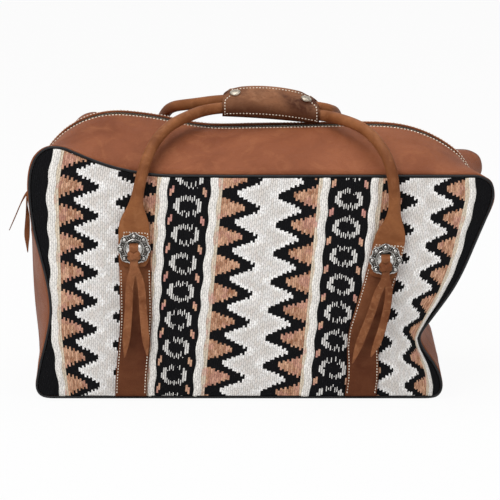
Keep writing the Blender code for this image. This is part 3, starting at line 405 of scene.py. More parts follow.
level = plus(tree, up, minus(tree, ragged, RAGGED + FIRST_MEDALLION))
cell = put(tree, "ShaderNodeCombineXYZ")
tree.links.new(column, cell.inputs[0])
tree.links.new(row, cell.inputs[1])
chance = put(tree, "ShaderNodeTexWhiteNoise", noise_dimensions="2D")
tree.links.new(cell.outputs[0], chance.inputs["Vector"])
luck = chance.outputs[0]
unit = work(tree, "ROUND", work(tree, "DIVIDE", middle, UNIT))
unit_middle = times(tree, unit, UNIT)
away = work(tree, "ABSOLUTE", minus(tree, middle, unit_middle))
true_away = work(tree, "ABSOLUTE", minus(tree, across, unit_middle))
even_unit = work(tree, "COMPARE", work(tree, "MODULO", unit, 2.0), 0.0, 0.1)
wave = plus(tree, work(tree, "DIVIDE", level, REPEAT), plus(tree, 0.5, times(tree, even_unit, 0.5)))
from_tip = times(tree, work(tree, "ABSOLUTE", in_cell(tree, wave)), REPEAT / 2)
tan_edge = spread(tree, from_tip, TIP_END, TAN_END, TAN_TIP, TAN_ROOT)
black_edge = spread(tree, from_tip, TIP_END, BLACK_END, BLACK_TIP, BLACK_ROOT)
waver = times(tree, work(tree, "SINE", times(tree, up, 2 * math.pi / REPEAT)), CORD_WAVER)
cord_side = minus(tree, true_away, waver)

millimetres = put(tree, "ShaderNodeVectorMath", operation="SCALE")
tree.links.new(cloth.outputs[0], millimetres.inputs[0])
millimetres.inputs["Scale"].default_value = 1000.0
cloth_spot = millimetres.outputs[0]
fleck = speckle(tree, stretched(tree, cloth_spot, 0.55, 0.16, 1.0), 1.0, 3.0, 0.7)
patch = speckle(tree, cloth_spot, 0.055, 2.0)
oat_share = times(tree, spread(tree, minus(tree, away, black_edge), 0.006, 0.014, 0.0, 1.0),
                  spread(tree, plus(tree, patch, times(tree, luck, 0.5)), 0.35, 0.95, 0.2, 1.0))
dash = speckle(tree, stretched(tree, cloth_spot, 0.18, 0.42, 1.0), 1.0, 3.0, 0.7)
oat_share = work(tree, "MAXIMUM", oat_share, spread(tree, dash, 0.44, 0.62, 0.0, 0.75))
heather = spread(tree, plus(tree, times(tree, luck, 0.35), fleck), 0.42, 0.85, 0.0, 1.0)
heathered_tan = blend(tree, heather, TAN_WOOL, BISCUIT_WOOL)
heathered_tan = blend(tree, spread(tree, patch, 0.52, 0.60, 0.0, 0.45), heathered_tan, PINK_WOOL)
blush = times(tree, spread(tree, patch, 0.50, 0.62, 0.0, 1.0), spread(tree, luck, 0.3, 0.9, 0.2, 0.8))
stripe = blend(tree, blush, BEIGE_WOOL, PINK_WOOL)
colour = blend(tree, oat_share, WHITE_WOOL, OAT_WOOL)
for place, edge, dyed in ((away, black_edge, BLACK_WOOL), (away, tan_edge, heathered_tan),
                          (away, STRIPE_EDGE, stripe), (cord_side, CORD_MIDDLE + CORD_COVER, CORD_WOOL),
                          (cord_side, CORD_MIDDLE - CORD_HALF, BLACK_WOOL)):
    colour = blend(tree, work(tree, "LESS_THAN", place, edge), colour, dyed)


def inside_oval(tree, across, up, half_width, half_height):
    """1 inside an oval and 0 outside it."""
    wide = work(tree, "DIVIDE", across, half_width)
    tall = work(tree, "DIVIDE", up, half_height)
    return work(tree, "LESS_THAN", plus(tree, times(tree, wide, wide), times(tree, tall, tall)), 1.0)


inner_unit = work(tree, "COMPARE", unit, 1.5, 0.6)
ring = minus(tree, inside_oval(tree, away, from_tip, *RING_OUTSIDE),
             inside_oval(tree, away, from_tip, *RING_INSIDE))
off_middle = work(tree, "ABSOLUTE", rib)
thin_yarn = times(tree, work(tree, "LESS_THAN", off_middle, 0.42), work(tree, "GREATER_THAN", luck, 0.22))
lobe = times(tree, work(tree, "GREATER_THAN", away, LOBE_START),
             work(tree, "LESS_THAN", from_tip, LOBE_HEIGHT))
lobe = times(tree, lobe, work(tree, "LESS_THAN", off_middle, 0.80))
ring = times(tree, times(tree, ring, work(tree, "MAXIMUM", thin_yarn, lobe)), inner_unit)
colour = blend(tree, ring, colour, MEDALLION_WOOL)
tick = times(tree, work(tree, "COMPARE", away, TICK_PLACE, TICK_HALF),
             work(tree, "GREATER_THAN", from_tip, REPEAT / 2 - TICK_HEIGHT))
tick_wool = blend(tree, spread(tree, patch, 0.42, 0.58, 0.0, 1.0), BISCUIT_WOOL, PINK_WOOL)
colour = blend(tree, times(tree, tick, inner_unit), colour, tick_wool)
along = work(tree, "ABSOLUTE", in_cell(tree, stitch_count))
yarn = times(tree, minus(tree, 1.0, times(tree, rib, rib)),
             minus(tree, 1.0, work(tree, "POWER", along, 4.0)))
# Painted shade between the yarns: each yarn is darker at its sides and ends; each stitch also gets its own
# random lightness.
light = times(tree, spread(tree, yarn, 0.0, 0.6, 0.60, 1.0),
              spread(tree, plus(tree, luck, fleck), 0.2, 1.6, 0.92, 1.22))
shade = put(tree, "ShaderNodeCombineColor")
for socket in shade.inputs[:3]:
    tree.links.new(light, socket)
colour = blend(tree, 1.0, colour, shade.outputs[0], "MULTIPLY")
tree.links.new(colour, shader.inputs["Base Color"])
fibre = speckle(tree, stretched(tree, cloth_spot, 3.0, 0.9, 1.0), 1.0, 2.0)
relief = plus(tree, yarn, times(tree, fibre, 0.35))
tree.links.new(raised(tree, relief, 0.0007, 0.8), shader.inputs["Normal"])
for side, woven in woven_faces.items():
    dress(woven, wool, f"{side}_panel")


# Piping
# A thin black leather cord cover is caught in the seam between each woven face and the leather
# band. It is glossy on its round side and dull where it is rubbed.

PIPING_BLACK = (0.010, 0.010, 0.011, 1)
PIPING_DUST = (0.040, 0.036, 0.036, 1)


def object_spot(tree):
    """Each point's place on its own piece, for a pattern that is fixed to it."""
    return put(tree, "ShaderNodeTexCoord").outputs["Object"]


piping_leather, tree, shader = new_finish("black_piping_leather", 0.38)
shader.inputs["Specular IOR Level"].default_value = 0.25
spot = object_spot(tree)
dust = speckle(tree, spot, 60.0, 4.0, 0.6)
dusty = blend(tree, spread(tree, dust, 0.5, 0.8, 0.0, 0.6), PIPING_BLACK, PIPING_DUST)
tree.links.new(dusty, shader.inputs["Base Color"])
tree.links.new(spread(tree, dust, 0.3, 0.8, 0.30, 0.62), shader.inputs["Roughness"])
creases = speckle(tree, spot, 700.0, 2.0)
tree.links.new(raised(tree, creases, 0.0003, 0.5), shader.inputs["Normal"])
for side, out in SIDES:
    piping = joined_copy(f"{side}_piping", f"{side}_piping_cord")
    refine(piping, 2, 80.0, 80.0)
    slump(piping)
    dress(piping, piping_leather, f"{side}_piping")


# Leather band
# The base, the two ends and the two strips along the zip are oiled pull-up leather, about two
# millimetres thick. The colour moves to lighter and darker where the hide is bent or rubbed.

COLOUR, AMOUNT = "NodeSocketColor", "NodeSocketFloat"
tree = oiled_hide = bpy.data.node_groups.new("oiled_hide", "ShaderNodeTree")
for name, kind in (("Hide", COLOUR), ("Worn", COLOUR), ("Dark", COLOUR), ("Clouds", AMOUNT),
                   ("Scuffs", AMOUNT), ("Pores", AMOUNT), ("Darkened", AMOUNT)):
    tree.interface.new_socket(name, in_out="INPUT", socket_type=kind)
for name, kind in (("Colour", COLOUR), ("Roughness", AMOUNT), ("Height", AMOUNT)):
    tree.interface.new_socket(name, in_out="OUTPUT", socket_type=kind)
given = put(tree, "NodeGroupInput").outputs
handed = put(tree, "NodeGroupOutput").inputs
spot = object_spot(tree)
scaled = put(tree, "ShaderNodeVectorMath", operation="SCALE")
tree.links.new(spot, scaled.inputs[0])
tree.links.new(given["Clouds"], scaled.inputs["Scale"])
clouds = speckle(tree, scaled.outputs[0], 1.0, 5.0, 0.55, 0.6)
rubs = speckle(tree, scaled.outputs[0], 3.1, 6.0, 0.65, 1.2)
streaks = speckle(tree, stretched(tree, spot, 1.0, 1.0, 2.6), 110.0, 5.0, 0.6, 1.5)
base = blend(tree, spread(tree, clouds, 0.36, 0.66, 0.0, 1.0), given["Hide"], given["Dark"])
rubbed = times(tree, spread(tree, rubs, 0.52, 0.78, 0.0, 1.0), given["Scuffs"])
base = blend(tree, rubbed, base, given["Worn"])
base = blend(tree, spread(tree, streaks, 0.50, 0.74, 0.0, 0.35), base, given["Dark"])
# Darker by the piece's per-point attribute: painted shade on the grip wrap, a darkening towards the bottom
# on the straps.
base = blend(tree, given["Darkened"], base, given["Dark"])
pores = put(tree, "ShaderNodeTexVoronoi", feature="DISTANCE_TO_EDGE")
tree.links.new(spot, pores.inputs["Vector"])
pores.inputs["Scale"].default_value = 1100.0
grain = spread(tree, pores.outputs["Distance"], 0.0, 0.25, 0.0, 1.0)
wrinkle = speckle(tree, stretched(tree, spot, 1.0, 1.0, 1.8), 240.0, 4.0, 0.6, 2.0)
height = plus(tree, times(tree, grain, given["Pores"]), times(tree, wrinkle, 1.4))
tree.links.new(base, handed["Colour"])
tree.links.new(spread(tree, plus(tree, clouds, rubs), 0.7, 1.3, 0.40, 0.62), handed["Roughness"])
tree.links.new(height, handed["Height"])


def leather(name, hide, worn, dark, clouds, scuffs, pores=0.5, depth=0.00025, handled=False):
    """A leather in its own colours, darker where a per-point attribute of the piece asks: painted shade on
    the grip wrap and a darkening towards the bottom on the straps.
    """
    finish, tree, shader = new_finish(name, 0.5)
    shader.inputs["Specular IOR Level"].default_value = 0.13
    pattern = put(tree, "ShaderNodeGroup")
    pattern.node_tree = oiled_hide
    for value, socket in zip((hide, worn, dark, clouds, scuffs, pores), pattern.inputs):
        socket.default_value = value
    if handled:
        mark = put(tree, "ShaderNodeAttribute", attribute_name="handled")
        tree.links.new(mark.outputs["Fac"], pattern.inputs["Darkened"])
    tree.links.new(pattern.outputs["Colour"], shader.inputs["Base Color"])
    tree.links.new(pattern.outputs["Roughness"], shader.inputs["Roughness"])
    tree.links.new(raised(tree, pattern.outputs["Height"], depth, 0.7), shader.inputs["Normal"])
    return finish


def mark_handled(piece, share):
    """Give each point of a piece its share of the darker colour: painted shade on the grip wrap, a darkening
    towards the bottom on the straps.
    """
    layer = piece.data.attributes.new("handled", "FLOAT", "POINT")
    for vertex in piece.data.vertices:
        layer.data[vertex.index].value = share(vertex.co)


BAND_WAVE = 0.0016
BAND_RIPPLE = 0.0003
band_leather = leather("oiled_band_leather", (0.285, 0.090, 0.036, 1), (0.37, 0.145, 0.066, 1),
                       (0.185, 0.052, 0.020, 1), clouds=11.0, scuffs=0.55)


def band_softness(spot, normal):
    """Soft waves in the leather of the band, none near its seams."""
    inside = between(abs(spot.y), 0.012, 0.030) * (1.0 - between(abs(spot.y), 0.095, 0.110))
    wide = noise.noise(Vector((spot.x * 13, spot.y * 16, spot.z * 13)))
    small = noise.noise(Vector((spot.x * 60 + 4, spot.y * 35, spot.z * 60)))
    outward = 1.0 if normal.dot(Vector((spot.x * 0.3, 0.0, spot.z - 0.12))) > 0 else -1.0
    return outward * inside * (BAND_WAVE * wide + BAND_RIPPLE * small)


for node in ("base_panel", "left_end_panel", "right_end_panel", "top_strip_front", "top_strip_back"):
    band = joined_copy(node, f"{node}_leather")
    refine(band, 2)
    if node != "base_panel":
        rise(band, band_softness)
        slump(band)
    dress(band, band_leather, node)


# Straps
# Four dark straps lie on the woven faces, from the bottom seam up to the handle tabs. Each is
# sewn on with waxed cream thread along both edges.

STRAP_HEIGHTS = [0.007 + 0.004 * step for step in range(38)]
STRAP_ROW = 0.0020
STITCH_SEAT = 0.00012
STITCH_FLAT = 0.8
# A row of stitches is found by looking in from outside, and is followed a little proud of the leather.
OUTSIDE = 0.2
PROUD = 0.001


def mottled(name, colours, roughness, scale, detail=2.0, share=(0.0, 1.0, 0.0, 1.0),
            run=(1.0, 1.0, 1.0), relief=None, metallic=0.0):
    """A finish of two colours, mixed by a fine noise that may change its gloss and relief too."""
    finish, tree, shader = new_finish(name, 0.5, metallic)
    mottle = speckle(tree, stretched(tree, object_spot(tree), *run), scale, detail)
    gloss = roughness if isinstance(roughness, float) else spread(tree, mottle, 0.3, 0.7, *roughness)
    feed(tree, blend(tree, spread(tree, mottle, *share), *colours), shader.inputs["Base Color"])
    feed(tree, gloss, shader.inputs["Roughness"])
    if relief:
        feed(tree, raised(tree, mottle, *relief), shader.inputs["Normal"])
    return finish


strap_leather = leather("dark_strap_leather", (0.300, 0.110, 0.045, 1), (0.36, 0.150, 0.070, 1),
                        (0.085, 0.021, 0.007, 1), clouds=16.0, scuffs=0.35, handled=True)
thread = mottled("cream_thread", ((0.92, 0.84, 0.72, 1), (0.50, 0.36, 0.24, 1)), 0.7, 300.0,
                 share=(0.35, 0.75, 0.0, 0.8))


def primitive(add, **sizes):
    """Add a primitive by its operator, alone selected, with its place in its mesh."""
    clear_selection()
    add(**sizes)
    bpy.ops.object.transform_apply(location=True, rotation=True, scale=True)
    return bpy.context.active_object


def open_with(piece, kind, test):
    """Open a piece in edit mode with the points, edges or faces that pass a test selected."""
    select_only(piece)
    bpy.context.tool_settings.mesh_select_mode = [kind == each for each in ("VERT", "EDGE", "FACE")]
    mesh = piece.data
    for group in (mesh.vertices, mesh.edges, mesh.polygons):
        group.foreach_set("select", [False] * len(group))
    if kind == "VERT":
        for vertex in mesh.vertices:
            vertex.select = test(vertex.co)
    elif kind == "EDGE":
        for edge in mesh.edges:
            first, last = edge.vertices
            edge.select = test(mesh.vertices[first].co, mesh.vertices[last].co)
    else:
        for face in mesh.polygons:
            face.select = test(face.center, face.normal)
    bpy.ops.object.mode_set(mode="EDIT")


def points_and_faces(piece):
    """The points and faces of a small modelled piece, which is then put away."""
    points = [vertex.co.copy() for vertex in piece.data.vertices]
    faces = [list(face.vertices) for face in piece.data.polygons]
    bpy.data.objects.remove(piece)
    return points, faces


def stamped(name, pattern, places):
    """One piece of a small pattern set down at many places, each with its own three directions."""
    points, faces = pattern
    corners, sides = [], []
    for place, across, along, up in places:
        start = len(corners)
        corners += [place + across * point.x + along * point.y + up * point.z for point in points]
        sides += [[start + index for index in face] for face in faces]
    mesh = bpy.data.meshes.new(name)
    mesh.from_pydata(corners, [], sides)
    return add_piece(name, mesh)


one_stitch = primitive(bpy.ops.mesh.primitive_cylinder_add, vertices=6, radius=0.5, depth=1.0)
open_with(one_stitch, "EDGE", lambda first, last: abs(first.z - last.z) < 0.001)
bpy.ops.mesh.bevel(offset=0.18, segments=1)
bpy.ops.object.mode_set(mode="OBJECT")
stitch_pattern = points_and_faces(one_stitch)


def walk(points, pitch):
    """Evenly spaced places along a line of points, each with the line's direction."""
    places = []
    left_over = pitch / 2
    for first, last in zip(points, points[1:]):
        length = (last - first).length
        at = left_over
        while at < length:
            places.append((first.lerp(last, at / length), (last - first).normalized()))
            at += pitch
        left_over = at - length
    return places


def just_off(surface, start, way):
    """A place a little before a surface, met from a start along a way, or None where it misses."""
    met = surface.ray_cast(start, way)[0]
    return None if met is None else met - way * PROUD


def sew(name, rows, surface, pitch=0.0035, length=0.0018, width=0.0013):
    """Rows of stitches as one piece, each stitch half sunk in the leather."""
    places = []
    for row in rows:
        for place, ahead in walk([spot for spot in row if spot is not None], pitch):
            spot, normal = surface.find_nearest(place)[:2]
            if normal.dot(place - spot) < 0:
                normal = -normal
            ahead = (ahead - normal * ahead.dot(normal)).normalized()
            places.append((spot + normal * STITCH_SEAT, ahead.cross(normal) * width,
                           normal * width * STITCH_FLAT, ahead * length))
    stitches = stamped(name, stitch_pattern, places)
    bpy.ops.object.shade_smooth_by_angle(angle=math.radians(60))
    dress(stitches, thread)


for side, out in SIDES:
    for which in ("left", "right"):
        node = f"{side}_{which}_strap"
        strap = joined_copy(node, f"{node}_leather")
        edges = outline(strap, STRAP_HEIGHTS)
        refine(strap, 3)
        # Each strap is darker towards its bottom.
        mark_handled(strap, lambda spot: 0.15 + 0.55 * (1.0 - between(spot.z, 0.03, 0.17)))
        dress(strap, strap_leather, node)
        surface = surface_of(strap)
        rows = []
        for end, inset in ((0, STRAP_ROW), (1, -STRAP_ROW)):
            rows.append([just_off(surface, Vector((ends[end] + inset, out * OUTSIDE, height)),
                                  Vector((0.0, -out, 0.0)))
                         for ends, height in zip(edges, STRAP_HEIGHTS)])
        sew(f"{node}_stitches", rows, surface)


# Handles
# Each handle is one strip of leather rolled round a cord core and closed by a seam underneath.
# Its ends lie flat as tabs, which are sewn on the straps in a square of stitches.

TAB_HALF = 0.0158
TAB_FOOT = -0.011
TAB_TOPS = {"left": 0.0192, "right": 0.0172}
TAB_SLANT = 0.25
TAB_DROP = 0.0020
TAB_STEPS = 12

handle_leather = leather("rolled_handle_leather", (0.300, 0.112, 0.040, 1), (0.40, 0.175, 0.078, 1),
                         (0.165, 0.052, 0.017, 1), clouds=20.0, scuffs=0.5, depth=0.0002)
for side, out in SIDES:
    handle = joined_copy(f"handle_{side}", f"{side}_handle_leather")
    refine(handle, 2, 75.0, 80.0)
    dress(handle, handle_leather, f"handle_{side}")
    surface = surface_of(handle)
    for which, top in TAB_TOPS.items():
        low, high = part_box(f"{side}_{which}_concho")
        centre = (low + high) / 2
        shift = TAB_SLANT * top
        square = [(-TAB_HALF, TAB_FOOT), (shift - TAB_HALF, top), (shift + TAB_HALF, top - TAB_DROP),
                  (TAB_HALF, TAB_FOOT)]
        row = []
        for (x, z), (next_x, next_z) in zip(square, square[1:]):
            for step in range(TAB_STEPS):
                share = step / TAB_STEPS
                spot = Vector((centre.x + x + share * (next_x - x), out * OUTSIDE,
                               centre.z + z + share * (next_z - z)))
                row.append(just_off(surface, spot, Vector((0.0, -out, 0.0))))
        sew(f"{side}_{which}_tab_stitches", [row], surface)


# Grip wrap
# A piece of the same leather is wrapped round both handles and closed with two snaps. It is
# sewn round all its edges, and it keeps the bend of the hand.

WRAP_LEVEL = 0.3236
WRAP_FALL = 0.0045
WRAP_ARCH = 0.0045
CORNER_CUT = 0.0085
CREST_SLACK = 0.0036
END_ROW = 0.0032
ROW_ANGLES = (-30.0, 97.0, 218.0)

# The dark colour serves the random clouds and the painted shade on the wrap's lower half.
wrap_leather = leather("grip_wrap_leather", (0.350, 0.150, 0.070, 1), (0.42, 0.215, 0.120, 1),
                       (0.062, 0.017, 0.006, 1), clouds=17.0, scuffs=0.5, pores=0.6, handled=True)
wrap = joined_copy("grip_wrap", "grip_wrap_leather")
refine(wrap, 3, 70.0, 60.0)
wrap_low, wrap_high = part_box("grip_wrap")
WRAP_MIDDLE = (wrap_low.x + wrap_high.x) / 2
WRAP_HALF = (wrap_high.x - wrap_low.x) / 2


def wrap_level(x):
    """Height of the wrap's middle line."""
    share = (x - WRAP_MIDDLE) / WRAP_HALF
    return WRAP_LEVEL - WRAP_FALL * share - WRAP_ARCH * share * share


for vertex in wrap.data.vertices:
    share = (vertex.co.x - WRAP_MIDDLE) / WRAP_HALF
    top = between(vertex.co.z - wrap_level(vertex.co.x), 0.002, 0.013)
    vertex.co.x -= math.copysign(CORNER_CUT * top * top * between(abs(share), 0.55, 1.0), share)
    vertex.co.z += CREST_SLACK * between(vertex.co.z - wrap_level(vertex.co.x), -0.002, 0.010)
# Painted shade: the wrap's lower half, which faces down, is darkened towards its dark colour.
mark_handled(wrap, lambda spot: 0.80 * (1.0 - between(spot.z - wrap_level(spot.x), -0.009, 0.009)))
dress(wrap, wrap_leather, "grip_wrap")
surface = surface_of(wrap)


def wrap_spot(share, angle, inset=0.0):
    """A place just outside the wrap, at a share of its length and an angle from the front."""
    out = Vector((0.0, -math.cos(angle), math.sin(angle)))
    cut = CORNER_CUT * between(math.sin(angle), 0.2, 1.0) ** 2 * between(abs(share), 0.55, 1.0)
    x = WRAP_MIDDLE + share * WRAP_HALF - math.copysign(cut + inset, share)
    return just_off(surface, Vector((x, 0.0, wrap_level(x))) + out * 0.08, -out)


lengths = [-0.93 + 1.86 * step / 40 for step in range(41)]
turns = [math.radians(-38 + 256 * step / 60) for step in range(61)]
rows = [[wrap_spot(share, math.radians(angle)) for share in lengths] for angle in ROW_ANGLES]
rows += [[wrap_spot(end, angle, END_ROW) for angle in turns] for end in (-1.0, 1.0)]
sew("grip_wrap_stitches", rows, surface, pitch=0.0038)

SNAP_RADIUS = 0.0065
SNAP_RISE = 0.0021
SNAP_SINK = 0.0006
snap_metal = mottled("snap_nickel", ((0.60, 0.54, 0.45, 1), (0.40, 0.35, 0.28, 1)), (0.22, 0.45), 220.0, 3.0,
                     metallic=1.0)
snap_pattern = primitive(bpy.ops.mesh.primitive_cylinder_add, vertices=40, radius=SNAP_RADIUS,
                         depth=SNAP_RISE, location=(0.0, 0.0, SNAP_RISE / 2))
open_with(snap_pattern, "EDGE", lambda first, last: min(first.z, last.z) > SNAP_RISE * 0.9)
bpy.ops.mesh.bevel(offset=0.0011, segments=4)
open_with(snap_pattern, "FACE", lambda centre, normal: normal.z > 0.99)
for thickness, depth in ((0.0004, -0.0002), (0.0009, 0.0003), (0.0018, 0.0002)):
    bpy.ops.mesh.inset(thickness=thickness, depth=depth)
bpy.ops.object.mode_set(mode="OBJECT")


def placed_copy(pattern, name, matrix):
    """A copy of a finished pattern with its own mesh, placed by its points."""
    piece = add_piece(name, pattern.data.copy())
    piece.data.transform(matrix)
    bpy.ops.object.shade_smooth_by_angle(angle=math.radians(45))
    return piece


for node in ("wrap_snap_1", "wrap_snap_2"):
    centre = sum(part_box(node), Vector()) / 2 + Vector((0.0, 0.0, CREST_SLACK))
    seat, axis = surface.find_nearest(centre)[:2]
    axis = (axis + Vector((0.0, 0.0, 0.35))).normalized()
    turn = axis.to_track_quat("Z", "Y").to_matrix().to_4x4()
    snap = placed_copy(snap_pattern, f"{node}_cap", Matrix.Translation(seat - axis * SNAP_SINK) @ turn)
    dress(snap, snap_metal, node)
bpy.data.objects.remove(snap_pattern)


# Conchos and thongs
# Berry conchos of silver plate, dark in the hollows, are tied on through two slots with a
# leather lace that lies over the dome, is knotted, and hangs down in two strands.

def silver(name, bright, dull, share, roughness):
    """Plated silver, polished to bright on some parts and black in the hollows of others."""
    return mottled(name, (bright, dull), roughness, 260.0, 3.0, (0.42, 0.68, 0.0, share), metallic=1.0)


polished_silver = silver("polished_silver", (0.70, 0.69, 0.67, 1), (0.30, 0.27, 0.23, 1), 0.5, (0.14, 0.30))
berry_silver = silver("berry_silver", (0.62, 0.61, 0.59, 1), (0.26, 0.24, 0.22, 1), 0.6, (0.10, 0.22))
black_silver = silver("blackened_silver", (0.10, 0.09, 0.08, 1), (0.020, 0.018, 0.016, 1), 1.0, (0.40, 0.60))
thong_leather = leather("lace_leather", (0.285, 0.108, 0.044, 1), (0.42, 0.200, 0.095, 1),
                        (0.150, 0.046, 0.016, 1), clouds=40.0, scuffs=0.7, depth=0.0003)
BERRIES = 8
BERRY_RING = 0.0153
BERRY_RADIUS = 0.0023
BEAD_RINGS = (0.0136, 0.0163)
BEAD_RADIUS = 0.0006
PLATE_RADIUS = 0.0178
PLATE_DEPTH = 0.0014
DOME_RADIUS = 0.0104
DOME_RISE = 0.0063
SLOT = (0.0128, 0.0200, 0.0040)
SLOT_PLACE = 0.0072
RING_Y = -0.0014
COLLAR_Y = -0.0016
FACING = (math.pi / 2, 0.0, 0.0)
NO_OFFSET = (0.0, 0.0, 0.0)


def from_berry(spot):
    """Angle from the nearest berry, as a share of half the way to the next."""
    step = 2 * math.pi / BERRIES
    turn = math.atan2(spot.x, spot.z) / step
    return abs(turn - round(turn)) * 2


plate = primitive(bpy.ops.mesh.primitive_cylinder_add, vertices=96, radius=PLATE_RADIUS,
                  depth=PLATE_DEPTH, location=(0.0, -PLATE_DEPTH / 2, 0.0), rotation=FACING)
for low, high, size in ((0.0, 0.3, 1.065), (0.3, 0.55, 1.035), (0.75, 1.01, 0.965)):
    open_with(plate, "VERT", lambda spot: low <= from_berry(spot) < high)
    bpy.ops.transform.resize(value=(size, 1.0, size), center_override=NO_OFFSET)
open_with(plate, "FACE", lambda centre, normal: normal.y < -0.9)
bpy.ops.mesh.inset(thickness=0.0009, depth=0.0)
bpy.ops.mesh.inset(thickness=0.0004, depth=-0.0006)
bpy.ops.object.mode_set(mode="OBJECT")

dome = primitive(bpy.ops.mesh.primitive_uv_sphere_add, segments=48, ring_count=24, radius=DOME_RADIUS,
                 rotation=FACING)
open_with(dome, "VERT", lambda spot: True)
bpy.ops.transform.resize(value=(1.0, DOME_RISE / DOME_RADIUS, 1.0), center_override=NO_OFFSET)
bpy.ops.mesh.bisect(plane_co=(0.0, -0.0002, 0.0), plane_no=(0.0, 1.0, 0.0), use_fill=True, clear_outer=True)
bpy.ops.object.mode_set(mode="OBJECT")
for height in (SLOT_PLACE, -SLOT_PLACE):
    punch = primitive(bpy.ops.mesh.primitive_cube_add, size=1.0, location=(0.0, 0.0, height), scale=SLOT)
    select_only(dome)
    slot = dome.modifiers.new("slot", "BOOLEAN")
    slot.operation = "DIFFERENCE"
    slot.object = punch
    bpy.ops.object.modifier_apply(modifier="slot")
    bpy.data.objects.remove(punch)


def in_slot(centre):
    """Whether a face of the dome is a wall or the floor of a slot."""
    across, up = abs(centre.x), abs(abs(centre.z) - SLOT_PLACE)
    return across < SLOT[0] / 2 + 0.00005 and up < SLOT[2] / 2 + 0.00005


for cast, black in ((plate, lambda centre: math.hypot(centre.x, centre.z) < PLATE_RADIUS * 0.93),
                    (dome, in_slot)):
    cast.data.materials.clear()
    for metal in (polished_silver, black_silver):
        cast.data.materials.append(metal)
    for face in cast.data.polygons:
        face.material_index = 1 if black(face.center) else 0


def cast_ball(place, radius, segments, rings):
    """A ball cast on the plate, narrower at its back."""
    ball = primitive(bpy.ops.mesh.primitive_uv_sphere_add, segments=segments, ring_count=rings,
                     radius=radius, location=place, rotation=FACING)
    open_with(ball, "VERT", lambda spot: spot.y > place[1] + radius * 0.3)
    bpy.ops.transform.resize(value=(0.8, 1.0, 0.8), center_override=place)
    bpy.ops.object.mode_set(mode="OBJECT")
    return ball


berry = cast_ball((0.0, -0.0026, BERRY_RING), BERRY_RADIUS, 20, 12)
bead = cast_ball((0.0, COLLAR_Y, 0.0), BEAD_RADIUS, 10, 6)
collar_place = (0.0, COLLAR_Y, BERRY_RING)
collar = primitive(bpy.ops.mesh.primitive_torus_add, major_segments=24, minor_segments=8,
                   major_radius=0.0033, minor_radius=0.00055, location=collar_place, rotation=FACING)
open_with(collar, "VERT", lambda spot: True)
bpy.ops.transform.resize(value=(1.0, 1.3, 1.0), center_override=collar_place)
dome_ring = primitive(bpy.ops.mesh.primitive_torus_add, major_segments=48, minor_segments=8,
                      major_radius=0.0110, minor_radius=0.0006, location=(0.0, RING_Y, 0.0),
                      rotation=FACING)
concho_parts = [plate, dome, dome_ring]
for number in range(BERRIES):
    turn = Matrix.Rotation(2 * math.pi * number / BERRIES, 4, "Y")
    between_turn = Matrix.Rotation(2 * math.pi * (number + 0.5) / BERRIES, 4, "Y")
    concho_parts.append(placed_copy(berry, f"berry_{number}", turn))
    concho_parts.append(placed_copy(collar, f"collar_{number}", turn))
    for ring in BEAD_RINGS:
        matrix = between_turn @ Matrix.Translation((0.0, 0.0, ring))
        concho_parts.append(placed_copy(bead, f"bead_{number}", matrix))
for piece in (berry, bead, collar):
    bpy.data.objects.remove(piece)
for piece in concho_parts:
    if not piece.data.materials:
        piece.data.materials.append(polished_silver if piece is dome_ring else berry_silver)
clear_selection()
for piece in concho_parts:
    piece.select_set(True)
bpy.context.view_layer.objects.active = plate
bpy.ops.object.join()

KNOT_DROP = 0.0066
KNOT_OUT = 0.0074
KNOT_TILTS = (26.0, -30.0)
LACE_SPREAD = 0.30
LACE_DROP = 0.0012
knot_turn = primitive(bpy.ops.mesh.primitive_torus_add, major_segments=28, minor_segments=10,
                      major_radius=0.0066, minor_radius=0.0014)
open_with(knot_turn, "VERT", lambda spot: True)
bpy.ops.transform.resize(value=(1.0, 0.62, 2.0), center_override=NO_OFFSET)
bpy.ops.object.mode_set(mode="OBJECT")

for side, turned in (("front", 0.0), ("back", math.pi)):
    for which in ("left", "right"):
        node = f"{side}_{which}_concho"
        low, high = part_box(node)
        seat = Vector(((low.x + high.x) / 2, high.y if side == "front" else low.y, (low.z + high.z) / 2))
        facing = Matrix.Translation(seat) @ Matrix.Rotation(turned, 4, "Z")
        concho = placed_copy(plate, f"{side}_{which}_berry_concho", facing)
        dress(concho, polished_silver, node)
        thong = joined_copy(f"{side}_{which}_thong", f"{side}_{which}_lace")
        refine(thong, 2, 70.0, 60.0)
        for vertex in thong.data.vertices:
            over_dome = between(vertex.co.z - seat.z, -0.016, -0.006)
            vertex.co.x += LACE_SPREAD * over_dome * (vertex.co.x - seat.x)
            vertex.co.z -= LACE_DROP * between(vertex.co.z - seat.z, -0.001, 0.006)
        dress(thong, thong_leather, f"{side}_{which}_thong")
        for number, tilt in enumerate(KNOT_TILTS):
            matrix = facing @ Matrix.Translation((0.0, -KNOT_OUT - 0.0006 * number, -KNOT_DROP))
            matrix = matrix @ Matrix.Rotation(math.radians(tilt), 4, "Y")
            knot = placed_copy(knot_turn, f"{side}_{which}_knot_{number + 1}", matrix)
            dress(knot, thong_leather)
bpy.data.objects.remove(plate)
bpy.data.objects.remove(knot_turn)


# Zip
# A metal zip on black tape runs along the top and down both ends. The slider's pull carries a
# leather thong.

TOOTH = (0.0013, 0.0042, 0.0024)
TOOTH_PITCH = 0.0030
TOOTH_OVERLAP = 0.0003
TURN_STEP = math.radians(1.5)
CENTRE = Vector((0.0, 0.0, 0.12))
EDGE_ROW = 0.0030
SLIDER_HALF = 0.0062
SHOULDER = (-0.185, -0.140)
THINNED = 0.0002

